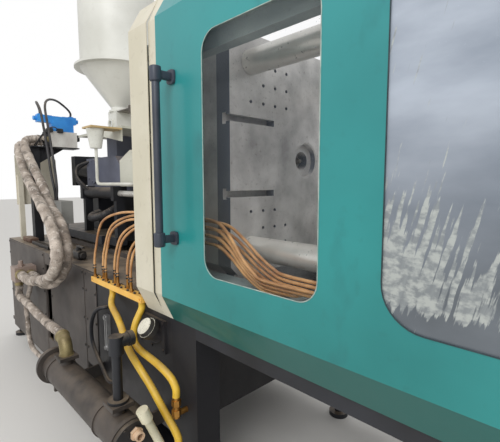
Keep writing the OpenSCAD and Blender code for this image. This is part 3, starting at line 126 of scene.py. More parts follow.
def surface(name, dark, light, rough, metal=0.0, blotch=3.0, grain=(1, 1, 1), bump=0.1,
            dust=0.0, dust_tone=(158, 140, 118), wear=0.0, wear_tone=(170, 168, 162),
            spots=0.0, spot_tone=(70, 55, 45), coat=0.0):
    """A used surface: two tones in clouds, specks, dust on what faces up, worn edges
    where the rounded normal leaves the flat one, and a fine grain in the bump."""
    material = bpy.data.materials.new(name)
    material.use_nodes = True
    tree = material.node_tree
    shader = tree.nodes["Principled BSDF"]
    place = tree.nodes.new("ShaderNodeTexCoord").outputs["Object"]
    cloud = noise(tree, place, blotch, 7.0)
    colour = ramp(tree, cloud, 0.36, 0.66, srgb(*dark), srgb(*light))
    if spots:
        mask = ramp(tree, noise(tree, place, blotch * 14, 8.0), 0.60, 0.70)
        colour = layer(tree, product(tree, mask, spots), colour, srgb(*spot_tone))
    if dust:
        facing = tree.nodes.new("ShaderNodeSeparateXYZ")
        geometry = tree.nodes.new("ShaderNodeNewGeometry")
        tree.links.new(geometry.outputs["Normal"], facing.inputs[0])
        flat = ramp(tree, facing.outputs[2], 0.2, 0.95)
        patches = ramp(tree, noise(tree, place, blotch * 3, 8.0), 0.30, 0.62)
        colour = layer(tree, product(tree, product(tree, flat, patches), dust), colour,
                       srgb(*dust_tone))
    if wear:
        bevel = tree.nodes.new("ShaderNodeBevel")
        bevel.samples = 4
        bevel.inputs["Radius"].default_value = EDGE_WIDTH
        flat_normal = tree.nodes.new("ShaderNodeNewGeometry").outputs["True Normal"]
        dot = tree.nodes.new("ShaderNodeVectorMath")
        dot.operation = "DOT_PRODUCT"
        tree.links.new(bevel.outputs[0], dot.inputs[0])
        tree.links.new(flat_normal, dot.inputs[1])
        edge = ramp(tree, dot.outputs["Value"], 0.80, 0.985, (1, 1, 1, 1), (0, 0, 0, 1))
        chips = ramp(tree, noise(tree, place, 38.0, 6.0), 0.42, 0.58)
        colour = layer(tree, product(tree, product(tree, edge, chips), wear), colour,
                       srgb(*wear_tone))
    tree.links.new(colour, shader.inputs["Base Color"])
    spread = tree.nodes.new("ShaderNodeMapRange")
    spread.inputs["To Min"].default_value = max(0.04, rough - 0.10)
    spread.inputs["To Max"].default_value = min(1.0, rough + 0.12)
    tree.links.new(noise(tree, place, blotch * 5, 5.0), spread.inputs["Value"])
    tree.links.new(spread.outputs["Result"], shader.inputs["Roughness"])
    relief = tree.nodes.new("ShaderNodeBump")
    relief.inputs["Strength"].default_value = bump
    relief.inputs["Distance"].default_value = GRAIN_DEPTH
    tree.links.new(noise(tree, place, 160.0, 4.0, grain), relief.inputs["Height"])
    tree.links.new(relief.outputs["Normal"], shader.inputs["Normal"])
    shader.inputs["Metallic"].default_value = metal
    shader.inputs["Coat Weight"].default_value = coat
    return material


def curve_through(points, steps=8):
    """A Catmull-Rom curve: each stretch is the cubic through its two points whose slopes
    are half the step between the neighbours on either side."""
    p = np.array(points, float) / 1000
    q = np.vstack([p[:1], p, p[-1:]])
    a, b, c, d = (q[i:len(q) - 3 + i, None] for i in range(4))
    t = np.linspace(0, 1, steps, endpoint=False)[None, :, None]
    line = 0.5 * (2 * b + (c - a) * t + (2 * a - 5 * b + 4 * c - d) * t ** 2
                  + (3 * b - a - 3 * c + d) * t ** 3)
    return np.vstack([line.reshape(-1, 3), p[-1:]])


def carried(path, radius, sides=20, lobes=None, ends=None):
    """Rings along a path: each point is the path's point plus the radius times the cosine
    and sine of an angle along two axes that are carried from ring to ring without twist.
    The end rings stand square to the two directions in ends."""
    heading = np.gradient(path, axis=0)
    if ends is not None:
        heading[0], heading[-1] = ends
    heading /= np.linalg.norm(heading, axis=1, keepdims=True)
    side = np.zeros_like(path)
    start = np.array([1.0, 0, 0]) if abs(heading[0, 2]) > 0.9 else np.array([0, 0, 1.0])
    for i, onward in enumerate(heading):
        start = start - onward * (start @ onward)
        start /= np.linalg.norm(start)
        side[i] = start
    up = np.cross(heading, side)
    angle = np.linspace(0, 2 * np.pi, sides, endpoint=False)
    reach = np.broadcast_to(np.reshape(radius, (-1, 1)), (len(path), sides))
    if lobes is not None:
        reach = reach * lobes(np.linspace(0, 1, len(path))[:, None], angle[None, :])
    return (path[:, None] + reach[..., None] * (np.cos(angle)[None, :, None] * side[:, None]
                                                + np.sin(angle)[None, :, None] * up[:, None]))


def piece(name, grids, material, body, stands_for=(), ring=False):
    """Closed skins from grids of rings, joined in one mesh. Each has a flat cap at both
    ends, or else its last ring is joined to its first."""
    points, faces, offset = [], [], 0
    for grid in grids:
        rings, sides = grid.shape[:2]
        index = np.arange(rings * sides).reshape(rings, sides) + offset
        beside = np.roll(index, -1, axis=1)
        if ring:
            index = np.vstack([index, index[:1]])
            beside = np.vstack([beside, beside[:1]])
        quads = np.stack([index[:-1], beside[:-1], beside[1:], index[1:]], -1)
        faces += quads.reshape(-1, 4).tolist()
        if not ring:
            faces += [index[0][::-1].tolist(), index[-1].tolist()]
        points.append(grid.reshape(-1, 3))
        offset += rings * sides
    mesh = bpy.data.meshes.new(name)
    mesh.from_pydata(np.vstack(points).tolist(), [], faces)
    work = bmesh.new()
    work.from_mesh(mesh)
    bmesh.ops.recalc_face_normals(work, faces=work.faces)
    work.to_mesh(mesh)
    work.free()
    mesh.polygons.foreach_set("use_smooth", np.ones(len(mesh.polygons), bool))
    mesh.set_sharp_from_angle(angle=SHARP_ANGLE)
    mesh.materials.append(material)
    thing = bpy.data.objects.new(name, mesh)
    bpy.context.scene.collection.objects.link(thing)
    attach(thing, body)
    if stands_for:
        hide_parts(*stands_for)
    return thing


def hose(name, route, radius, material, node, lobes=None, sides=20,
         steps=8):
    """A hose fixed to the machine at both ends, drawn as a tube along a curve through its route.
    """
    path = curve_through(route, steps)
    ends = np.subtract(route[1], route[0]), np.subtract(route[-1], route[-2])
    tube = piece(name, [carried(path, radius, sides, lobes, ends)], material, "machine",
                 (node,))


yellow = surface("yellow_rubber", (196, 154, 42), (226, 186, 62), 0.42, blotch=9.0, bump=0.05,
                 spots=0.25, spot_tone=(120, 92, 40), dust=0.35)
hose("supply_hose_long",
     [(-748, -670, 975), (-748, -670, 948), (-738, -682, 920), (-706, -697, 900),
      (-652, -710, 887), (-580, -725, 871), (-500, -744, 846), (-430, -762, 812),
      (-380, -764, 772), (-315, -757, 723), (-250, -745, 667), (-202, -734, 612),
      (-162, -722, 559), (-127, -711, 515), (-105, -705, 478), (-105, -705, 450)],
     SUPPLY_HOSE_RADIUS, yellow, "yellow_hoses")
hose("supply_hose_short",
     [(-440, -670, 975), (-440, -670, 945), (-440, -686, 914), (-438, -707, 876),
      (-432, -721, 828), (-408, -724, 792), (-360, -724, 777), (-306, -720, 768),
      (-235, -715, 756), (-178, -709, 738), (-140, -703, 714), (-120, -700, 682),
      (-120, -700, 650)],
     SUPPLY_HOSE_RADIUS, yellow, "yellow_hoses")

# Mould water hoses
# Four tan see-through plastic hoses. Each rises from a brass tail, goes round the guard
# post, lies on the ledge inside the guard and comes back to the next tail.
WATER_HOSE_RADIUS = 0.0065
TAIL_TOP_Z = 1055
RISE = [(0.10, 0.25, 70), (0.35, 0.60, 12), (0.70, 0.90, 0), (1, 1, 0)]
FALL = [(-200, 1), (-60, 1), (30, 0.93), (110, 0.66), (180, 0.34), (250, 0.10), (310, 0)]
LANE_Y = (-580, -530)
COLUMN_X = -395
LEDGE_LAY_Z = 1158
BEND_X = 330


def tail_place(i):
    """X and Y of brass tail i in millimetres. The tails stand in two staggered rows."""
    return -940 + 70 * i, -650 - (12, 30)[1 - i % 2]


def lane_height(i):
    """The lanes lie one above the other, and that of the first tail is the highest."""
    return 1270 + 16 * (7 - i)


def rise_points(i):
    """From tail i straight up, then over to the hose's own lane past the column."""
    (x, y), z = tail_place(i), TAIL_TOP_Z
    over = [(x + sx * (COLUMN_X - x), y + sy * (LANE_Y[i % 2] - y), lane_height(i) - drop)
            for sx, sy, drop in RISE]
    return [(x, y, z), (x, y, z + 45), (x + 5, y + 8, z + 115), *over]


def fall_points(i, y, z):
    """From the lane down on to the ledge, the share of the lane's height left at each X."""
    return [(x, y + (LANE_Y[i % 2] - y) * s, z + (lane_height(i) - z) * s) for x, s in FALL]


tan_plastic = surface("tan_water_hose", (156, 108, 66), (206, 158, 104), 0.30, blotch=14.0,
                      bump=0.03, coat=0.3)
for pair in range(4):
    turn = 3 - pair
    z_lay = LEDGE_LAY_Z + 15 * turn
    y_out, y_back = -625 + 7 * pair, -518 - 5 * pair
    half_turn = np.radians([-60, -30, 0, 30, 60])
    bend = [(BEND_X + 60 * turn + (y_back - y_out) / 2 * np.cos(a),
             (y_out + y_back) / 2 + (y_back - y_out) / 2 * np.sin(a), z_lay) for a in half_turn]
    hose(f"water_hose_{pair + 1}",
         [*rise_points(2 * pair), *fall_points(2 * pair, y_out, z_lay), *bend,
          *fall_points(2 * pair + 1, y_back, z_lay)[::-1], *rise_points(2 * pair + 1)[::-1]],
         WATER_HOSE_RADIUS, tan_plastic, "water_hoses", sides=14, steps=5)

# Wrapped hydraulic hoses
# Rubber pressure hoses bound from end to end in strips of whitish cloth, which lie in
# overlapping slanted turns and are grey with dust and oil.


def bound_cloth(turns, depth, shift):
    """Radius share of a wrap: a saw-tooth step that climbs slantwise round the hose, plus
    broad folds from sines whose rates don't divide each other."""
    def share(s, angle):
        step = np.mod(turns * s + angle / (2 * np.pi) + shift, 1.0)
        fold = np.sin(3 * angle + 37 * s + shift) * np.sin(0.61 * turns * s * 2 * np.pi + angle)
        return 1 + depth * (0.5 * step - 0.25) + depth * 0.45 * fold
    return share


def overlay(material, mask, tone):
    """A tone laid over all that a surface shows so far."""
    tree = material.node_tree
    base = tree.nodes["Principled BSDF"].inputs["Base Color"]
    tree.links.new(layer(tree, mask, base.links[0].from_socket, srgb(*tone)), base)


wrap = surface("dirty_cloth_wrap", (136, 124, 114), (206, 194, 182), 0.95, blotch=9.0,
               grain=(3, 3, 3), bump=0.6, spots=0.8, spot_tone=(70, 66, 62), dust=0.2)
tree = wrap.node_tree
place = tree.nodes["Texture Coordinate"].outputs["Object"]
for scale, low, high, tone, share in ((16.0, 0.52, 0.66, (86, 80, 74), 0.7),
                                      (34.0, 0.56, 0.66, (226, 218, 208), 0.6)):
    stains = ramp(tree, noise(tree, place, scale, 9.0), low, high)
    overlay(wrap, product(tree, stains, share), tone)
for label, radius, turns, depth, route in (
    ("pressure_hose_outer", 0.033, 30, 0.16,
     [(-2660, -300, 1915), (-2700, -300, 1915), (-2740, -322, 1913), (-2766, -380, 1909),
      (-2772, -450, 1900), (-2752, -540, 1880), (-2690, -600, 1840), (-2490, -632, 1695),
      (-2130, -680, 1545), (-1670, -742, 1408), (-1400, -772, 1310), (-1270, -785, 1223),
      (-1200, -795, 1140), (-1206, -800, 1055), (-1330, -800, 950), (-1580, -798, 885),
      (-1850, -785, 835), (-2060, -768, 820), (-2172, -768, 820)]),
    ("pressure_hose_inner", 0.033, 28, 0.16,
     [(-2600, -380, 1920), (-2600, -430, 1920), (-2593, -500, 1914), (-2560, -565, 1893),
      (-2485, -602, 1832), (-2340, -610, 1728), (-2001, -632, 1535), (-1675, -672, 1372),
      (-1400, -700, 1266), (-1290, -715, 1186), (-1240, -725, 1110), (-1292, -730, 990),
      (-1540, -730, 862), (-1808, -725, 815), (-2050, -695, 808), (-2172, -695, 808)]),
    ("cooler_hose", 0.026, 26, 0.20,
     [(-2235, -765, 758), (-2235, -765, 705), (-2215, -775, 664), (-2155, -782, 650),
      (-2014, -790, 654), (-1817, -800, 660), (-1596, -810, 655), (-1281, -830, 673),
      (-1050, -852, 704), (-950, -866, 712), (-903, -870, 696), (-890, -870, 663),
      (-890, -870, 630)]),
    ("drain_hose", 0.017, 22, 0.16,
     [(-2235, -690, 758), (-2235, -690, 690), (-2228, -712, 610), (-2200, -734, 540),
      (-2158, -740, 450), (-2148, -740, 340), (-2105, -740, 272), (-2020, -740, 243),
      (-1832, -735, 245), (-1670, -718, 266), (-1595, -704, 278), (-1554, -690, 284),
      (-1540, -670, 285), (-1540, -650, 285)]),
):
    hose(label, route, radius, wrap, "wrapped_hoses",
         bound_cloth(turns, depth, radius * 31), sides=28, steps=14)

# Hose ends
# Crimped collars close the cloth where a wrapped hose meets its block, and an elbow carries
# the cooler hose down on to the cooler's flange. Both are cast in a dull yellowish metal.
PRESSURE_COLLAR, COOLER_COLLAR, DRAIN_COLLAR = 0.0385, 0.0315, 0.0210
dull_metal = surface("dull_yellow_casting", (120, 108, 74), (164, 150, 108), 0.45, metal=0.5,
                     blotch=16.0, spots=0.5, spot_tone=(70, 60, 44), dust=0.3)
collars = []
for start, end, radius in (
    ((-2.171, -0.768, 0.820), (-2.136, -0.768, 0.820), PRESSURE_COLLAR),
    ((-2.171, -0.695, 0.808), (-2.136, -0.695, 0.808), PRESSURE_COLLAR),
    ((-2.661, -0.300, 1.915), (-2.694, -0.300, 1.915), PRESSURE_COLLAR),
    ((-2.600, -0.381, 1.920), (-2.600, -0.414, 1.920), PRESSURE_COLLAR),
    ((-2.235, -0.765, 0.757), (-2.235, -0.765, 0.724), COOLER_COLLAR),
    ((-2.235, -0.690, 0.757), (-2.235, -0.690, 0.730), DRAIN_COLLAR),
):
    share = np.array([0, 0.08, 0.3, 0.36, 0.64, 0.7, 0.92, 1.0])[:, None]
    line = np.array(start) + share * (np.array(end) - np.array(start))
    swell = radius * np.array([0.94, 1.0, 1.0, 0.95, 0.95, 1.0, 1.0, 0.94])
    collars.append(carried(line, swell, 24))
piece("hose_collars", collars, dull_metal, "machine")
elbow = curve_through([(-958, -865, 712), (-934, -868, 710), (-906, -870, 697),
                       (-891, -870, 668), (-890, -870, 640), (-890, -870, 631)], 8)
share = np.linspace(0, 1, len(elbow))
flanged = 0.0325 + 0.004 * (share < 0.12) + 0.004 * (share > 0.9)
piece("cooler_elbow", [carried(elbow, flanged, 24)], dull_metal, "machine")

# Valve cables
# Two black round cables arch from the valve's plugs down to the terminal box.
CABLE_RADIUS = 0.009
black_rubber = surface("black_cable", (26, 26, 28), (54, 54, 58), 0.5, blotch=12.0, bump=0.04,
                       dust=0.4)
hose("valve_cable_left",
     [(-2600, -440, 2138), (-2600, -440, 2162), (-2560, -460, 2190), (-2450, -505, 2205),
      (-2300, -540, 2170), (-2160, -560, 2085), (-2060, -570, 1920), (-2000, -570, 1750),
      (-1955, -570, 1600), (-1922, -563, 1480), (-1920, -560, 1440), (-1920, -560, 1400)],
     CABLE_RADIUS, black_rubber, "valve_cables", sides=14)
hose("valve_cable_right",
     [(-2600, -180, 2138), (-2600, -180, 2175), (-2570, -230, 2215), (-2470, -340, 2245),
      (-2330, -450, 2215), (-2180, -520, 2130), (-2065, -542, 1970), (-1990, -546, 1780),
      (-1930, -548, 1600), (-1892, -555, 1490), (-1885, -560, 1440), (-1885, -560, 1400)],
     CABLE_RADIUS, black_rubber, "valve_cables", sides=14)

# Guard doors and posts
# Folded sheet doors in teal, hung on a track between beige posts. The lower fold turns
# under. Faces that turn down have painted shade, a darker green, and the door is painted
# lighter towards its top as painted light.


def dress(material, *nodes):
    """Gives CAD nodes a finish in place of their plain one."""
    for node in nodes:
        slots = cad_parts[node].data.materials
        slots.clear()
        slots.append(material)


def along(tree, axis, low, high, source="Object"):
    """0 below the low point and 1 above the high one, along an axis of the object, or of
    the face's normal."""
    parts = tree.nodes.new("ShaderNodeSeparateXYZ")
    if source == "Object":
        tree.links.new(tree.nodes["Texture Coordinate"].outputs["Object"], parts.inputs[0])
    else:
        tree.links.new(tree.nodes.new("ShaderNodeNewGeometry").outputs["Normal"],
                       parts.inputs[0])
    share = tree.nodes.new("ShaderNodeMapRange")
    share.inputs["From Min"].default_value = low
    share.inputs["From Max"].default_value = high
    tree.links.new(parts.outputs[axis], share.inputs["Value"])
    return share.outputs["Result"]


teal = surface("teal_door_paint", (12, 112, 110), (30, 132, 130), 0.36, blotch=1.6, bump=0.03,
               spots=0.12, spot_tone=(16, 74, 76), wear=0.5, wear_tone=(120, 170, 166), coat=0.15)
tree = teal.node_tree
place = tree.nodes["Texture Coordinate"].outputs["Object"]
# Painted light: the teal is painted lighter towards the top of the door.
overlay(teal, product(tree, along(tree, 2, 1.05, 2.25), 0.45), (64, 150, 156))
smudge = ramp(tree, noise(tree, place, 7.0, 6.0, (1, 1, 0.5)), 0.62, 0.72)
overlay(teal, product(tree, smudge, 0.35), (18, 88, 92))
# Painted shade: faces that turn down, such as the lower fold, are painted a darker green.
overlay(teal, along(tree, 2, -0.2, -0.5, "Normal"), (24, 82, 74))
beige = surface("beige_post_paint", (196, 190, 170), (220, 214, 198), 0.42, blotch=2.2,
                bump=0.04, spots=0.16, spot_tone=(120, 108, 88), wear=0.4,
                wear_tone=(150, 140, 120))
dress(teal, "rear_door", "front_door", "clamp_covers")
dress(beige, "guard_posts", "rear_guard_plate")
dress(surface("guard_frame_paint", (118, 130, 130), (150, 160, 158), 0.45, blotch=3.0,
              bump=0.05, spots=0.2, wear=0.4), "guard_columns", "guard_headers")

# Door windows
# Clear plastic panes behind the sheet. The first is nearly clean. The second has gone
# cloudy grey, with whitish scrub marks that lean and crowd together low on its left.
# Its haze has painted light: darker low down, lighter and bluer higher up.
BETWEEN_PANES_X = (0.660, 0.662)
STROKE_LEAN = np.radians(-14)


def total(tree, first, second):
    """One value plus another."""
    node = tree.nodes.new("ShaderNodeMath")
    tree.links.new(first, node.inputs[0])
    tree.links.new(second, node.inputs[1])
    return node.outputs[0]


pane = bpy.data.materials.new("scrubbed_window")
pane.use_nodes = True
tree = pane.node_tree
shader = tree.nodes["Principled BSDF"]
place = tree.nodes.new("ShaderNodeTexCoord").outputs["Object"]
second_pane = along(tree, 0, *BETWEEN_PANES_X)
leaning = tree.nodes.new("ShaderNodeMapping")
leaning.inputs["Rotation"].default_value = (0, STROKE_LEAN, 0)
tree.links.new(place, leaning.inputs["Vector"])
fingers = noise(tree, leaning.outputs["Vector"], 88.0, 4.0, (1.0, 1, 0.09))
thins_out = product(tree, along(tree, 2, 1.34, 1.66), -0.30)
right_edge = product(tree, along(tree, 0, 0.88, 1.04), -0.26)
lower_edge = product(tree, along(tree, 2, 1.262, 1.225), -0.30)
strokes = ramp(tree, total(tree, total(tree, fingers, thins_out),
                           total(tree, right_edge, lower_edge)), 0.36, 0.41)
swirls = ramp(tree, noise(tree, place, 46.0, 6.0, (1, 1, 1.5)), 0.40, 0.58)
scrub_tones = layer(tree, swirls, ramp(tree, fingers, 0.3, 0.7, srgb(120, 125, 128),
                                       srgb(140, 145, 146)), srgb(176, 180, 176))
# Painted light: the haze is painted darker low down and lighter and bluer higher up.
haze_in_painted_shade_low = ramp(tree, noise(tree, place, 2.2, 5.0, (1, 1, 1.8)), 0.32, 0.68,
                srgb(74, 79, 84), srgb(112, 118, 125))
haze_in_painted_light_high = ramp(tree, noise(tree, place, 2.8, 5.0, (1, 1, 2.6)), 0.32, 0.68,
                 srgb(128, 137, 150), srgb(172, 180, 192))
haze_and_painted_light = layer(tree, along(tree, 2, 1.30, 1.72), haze_in_painted_shade_low, haze_in_painted_light_high)
colour = layer(tree, product(tree, strokes, 0.85), haze_and_painted_light, scrub_tones)
tree.links.new(colour, shader.inputs["Base Color"])
specks = ramp(tree, noise(tree, place, 150.0, 2.0), 0.70, 0.74)
specks = product(tree, product(tree, specks, along(tree, 2, 1.70, 1.98)), 0.5)
cover = tree.nodes.new("ShaderNodeMapRange")
cover.inputs["To Min"].default_value = 0.03
cover.inputs["To Max"].default_value = 0.93
tree.links.new(second_pane, cover.inputs["Value"])
tree.links.new(total(tree, cover.outputs["Result"], specks), shader.inputs["Alpha"])
shader.inputs["Roughness"].default_value = 0.16
shader.inputs["Specular IOR Level"].default_value = 0.3
dress(pane, "rear_door_windows", "front_door_windows")

# Window edges
# A thin bead of pale sealer round the first window and a dark rubber edge round the second,
# pressed in where the sheet ends. They sit on the door's face.
WINDOW_LOW_Z, WINDOW_HIGH_Z = 1.200, 2.026
SHEET_FACE_Y = 0.7105
BEAD_RADIUS = 0.0016


def window_loop(x0, x1, z0, z1, corner, y):
    """A rounded rectangle in the door's plane: four quarter circles joined by straights,
    started halfway along the lower edge."""
    turn = np.linspace(0, np.pi / 2, 10)
    arcs = [np.stack([cx + corner * np.cos(turn + a), cz + corner * np.sin(turn + a)], 1)
            for cx, cz, a in ((x1 - corner, z0 + corner, -np.pi / 2),
                              (x1 - corner, z1 - corner, 0),
                              (x0 + corner, z1 - corner, np.pi / 2),
                              (x0 + corner, z0 + corner, np.pi))]
    flat = np.vstack([[[(x0 + x1) / 2, z0]], *arcs])
    return np.stack([flat[:, 0], np.full(len(flat), y), flat[:, 1]], 1)


sealer = surface("window_sealer", (130, 150, 144), (170, 182, 174), 0.5, blotch=30.0)
edge_rubber = surface("window_rubber", (20, 36, 42), (38, 54, 60), 0.6, blotch=30.0)
for side, door in ((-1, "rear"), (1, "front")):
    for order, x0, x1, corner, finish in (("first", 0.097, 0.579, 0.068, sealer),
                                          ("second", 0.756, 1.376, 0.100, edge_rubber)):
        loop = window_loop(x0, x1, WINDOW_LOW_Z, WINDOW_HIGH_Z, corner, side * SHEET_FACE_Y)
        piece(f"{door}_{order}_window_edge", [carried(loop, BEAD_RADIUS, 8)], finish,
              f"{door}_door", ring=True)

# Door handles
# A dark plastic-coated tube, clamped at each end in a moulded bracket: a sleeve round the
# tube, a short arm, and a rounded foot screwed to the door.
HANDLE_X, HANDLE_Y = -0.083, 0.780
HANDLE_MID_Z = 1.617
BRACKETS_Z = (1.317, 1.917)


def bar(centre, half, axis, edge=0.25, power=5.0, sides=32, rings=5):
    """A rounded block: a superellipse cross-section, carried along one axis and drawn in
    near both ends by a quarter circle."""
    u, v = [a for a in range(3) if a != axis]
    turn = np.linspace(0, np.pi / 2, rings)
    lip = edge * min(half)
    stations = np.concatenate([-half[axis] + lip * (1 - np.sin(turn)),
                               half[axis] - lip * (1 - np.sin(turn[::-1]))])
    stations = np.sort(stations)
    into_lip = ((np.abs(stations) - half[axis] + lip) / lip).clip(0, 1)
    inset = lip * (1 - np.sqrt(np.clip(1 - into_lip ** 2, 0, 1)))
    angle = np.linspace(0, 2 * np.pi, sides, endpoint=False)
    c, s = np.cos(angle), np.sin(angle)
    grid = np.zeros((len(stations), sides, 3))
    grid[..., axis] = centre[axis] + stations[:, None]
    grid[..., u] = centre[u] + (half[u] - inset)[:, None] * np.sign(c) * np.abs(c) ** (2 / power)
    grid[..., v] = centre[v] + (half[v] - inset)[:, None] * np.sign(s) * np.abs(s) ** (2 / power)
    return grid


handle_plastic = surface("dark_handle_plastic", (38, 42, 52), (60, 66, 78), 0.45, blotch=6.0,
                         bump=0.12, wear=0.3, wear_tone=(96, 100, 108))
for side, door in ((-1, "rear"), (1, "front")):
    shapes = [bar((HANDLE_X, side * HANDLE_Y, HANDLE_MID_Z), (0.0145, 0.0145, 0.318), 2,
                  power=2.0)]
    for z in BRACKETS_Z:
        shapes.append(bar((HANDLE_X, side * HANDLE_Y, z), (0.020, 0.020, 0.027), 2, power=2.4))
        shapes.append(bar((HANDLE_X, side * 0.744, z), (0.013, 0.026, 0.015), 1, power=4.0))
        shapes.append(bar((HANDLE_X, side * 0.7155, z), (0.024, 0.0052, 0.026), 1, power=4.0))
    piece(f"{door}_handle_moulding", shapes, handle_plastic, f"{door}_door",
          (f"{door}_door_handle",))

# Platens and tie bars
# Milled cast steel platens with oil film and rust specks, the fixed one's narrow side dark
# with oil, hard-chromed ground tie bars and ram, and the painted clamp cylinder behind.
platen = surface("milled_platen", (158, 155, 153), (220, 217, 214), 0.36, metal=0.25, blotch=5.0,
                 grain=(1, 1, 0.15), bump=0.15, spots=0.40, spot_tone=(104, 96, 90))
tree = platen.node_tree
place = tree.nodes["Texture Coordinate"].outputs["Object"]
wiped = ramp(tree, noise(tree, place, 2.6, 6.0, (1, 1, 0.6)), 0.50, 0.68)
overlay(platen, product(tree, wiped, 0.40), (232, 230, 227))
oily_side = along(tree, 1, -0.5, -0.9, "Normal")
overlay(platen, product(tree, oily_side, along(tree, 0, -0.082, -0.078)), (92, 97, 106))
dress(platen, "fixed_platen", "moving_platen", "tail_platen", "ejector_plate")
dress(surface("ground_chrome", (206, 203, 196), (228, 226, 220), 0.30, metal=0.55, blotch=8.0,
              grain=(0.2, 6, 6), bump=0.02), "tie_bars", "clamp_ram", "carriage_rods", "screw")
# Painted shade: the clamp base under the guard is given this near-black paint.
dark_paint_and_painted_shade = surface("dark_frame_paint_and_painted_shade", (16, 17, 21), (34, 36, 43), 0.5, blotch=3.5, bump=0.10,
                     dust=0.55, wear=0.35, wear_tone=(96, 94, 92))
dress(dark_paint_and_painted_shade, "clamp_base", "clamp_cylinder", "carriage_frame", "injection_plate",
      "hydraulic_cylinders", "valve_stand", "levelling_feet", "cooler_pipe", "pump_motor")

# Base, tank and panels
# Welded and folded steel in grey-brown paint under dust and oil smears, with a dark tank.
# Painted shade: past X = -0.5, under the guard, the base and panels are painted nearly black.
base_paint = surface("dusty_base_paint", (64, 59, 57), (94, 87, 82), 0.55, blotch=2.4,
                     bump=0.10, dust=0.75, spots=0.18, spot_tone=(56, 50, 46), wear=0.35,
                     wear_tone=(140, 130, 118))
# Painted shade: past X = -0.5, under the guard, the base paint turns nearly black.
overlay(base_paint, along(base_paint.node_tree, 0, -0.52, -0.50), (22, 22, 27))
dress(base_paint, "injection_base", "side_panels", "cabinet_door")
dress(surface("tank_paint", (20, 20, 24), (40, 38, 40), 0.5, blotch=3.0, bump=0.10, dust=0.5,
              spots=0.2), "oil_tank")

# Injection unit
# Blue-grey cast housing, bare barrel and bands, a folded beige cover, and the platform.
dress(surface("housing_paint", (78, 82, 98), (104, 108, 124), 0.42, blotch=3.0, bump=0.08,
              dust=0.5, wear=0.3), "feed_housing")
dress(surface("bare_barrel", (104, 98, 92), (146, 140, 132), 0.45, metal=0.7, blotch=6.0,
              spots=0.3), "barrel", "heater_bands", "slide_gate", "pump_coupling")
dress(surface("cover_paint", (190, 190, 176), (212, 210, 198), 0.45, blotch=2.5, dust=0.3,
              spots=0.12), "barrel_cover", "hopper_platform")

# Hopper and valves
# White painted hopper and magnet block, blue solenoids on a pale block, a grey box.
dress(surface("hopper_white", (206, 206, 198), (232, 232, 226), 0.38, blotch=2.0, bump=0.03,
              spots=0.08, spot_tone=(150, 140, 124)),
      "hopper_body", "hopper_lid", "magnet_block")
cup_paint = surface("drip_cup_paint", (200, 200, 190), (226, 226, 218), 0.45, blotch=9.0,
                    spots=0.3, spot_tone=(120, 110, 96), dust=0.4)
overlay(cup_paint, along(cup_paint.node_tree, 2, 1.896, 1.898), (190, 164, 116))
dress(cup_paint, "drip_cup")
block_paint = surface("valve_block_paint", (204, 200, 194), (228, 226, 220), 0.45, blotch=9.0,
                      spots=0.4, spot_tone=(96, 88, 80), dust=0.5)
tree = block_paint.node_tree
overlay(block_paint, product(tree, along(tree, 2, 1.01, 1.0), 0.85), (140, 116, 104))
dress(block_paint, "valve_blocks")
dress(surface("solenoid_blue", (40, 130, 214), (64, 160, 240), 0.36, blotch=7.0, dust=0.3),
      "solenoid_valve")
dress(surface("grey_box_paint", (118, 118, 116), (146, 146, 142), 0.45, blotch=4.0, dust=0.4),
      "terminal_box", "control_panel")
dress(surface("red_plastic_knob", (176, 26, 22), (206, 42, 34), 0.3, blotch=9.0), "e_stop",
      "main_switch")

# Hose clips and manifold bolts
# Pressed steel worm-drive clips hold the tan hoses on the brass tails, and socket screws
# with round heads clamp the manifold bar between the tails.
CLIPS_Z = (1.0585, 1.0735)
SCREW_HEAD_Z = 1.0085
clip_steel = surface("clip_steel", (70, 66, 62), (128, 124, 118), 0.4, metal=0.7, blotch=30.0,
                     spots=0.4)
black_head = surface("black_screw_head", (22, 22, 24), (50, 48, 48), 0.45, blotch=30.0, dust=0.4)
clips, screws = [], []
for i in range(8):
    x, y = np.array(tail_place(i)) / 1000
    for z in CLIPS_Z:
        clips.append(bar((x, y, z), (0.0082, 0.0082, 0.0032), 2, power=2.0, sides=20))
        clips.append(bar((x + 0.002, y - 0.0100, z), (0.0050, 0.0030, 0.0036), 0, sides=16))
    for dx, screw_y in ((-0.033, -0.682), (-0.018, -0.664)):
        screws.append(bar((x + dx, screw_y, SCREW_HEAD_Z), (0.0062, 0.0062, 0.0042), 2,
                          power=2.0, sides=18))
piece("hose_clips", clips, clip_steel, "machine")
piece("manifold_screws", screws, black_head, "machine")

# Panel bolts
# Black domed bolts hold the side panels along their upright seams, four to a seam.
SEAMS_X = (-2.975, -1.985, -1.815, -1.205, -1.158, -1.025)
BOLTS_Z = (0.52, 0.70, 0.88, 0.985)
PANEL_FACE_Y = -0.6545
heads = [bar((x, PANEL_FACE_Y, z), (0.0085, 0.0040, 0.0085), 1, edge=0.8, power=2.0, sides=18)
         for x in SEAMS_X for z in BOLTS_Z]
piece("panel_bolts", heads, black_head, "machine")

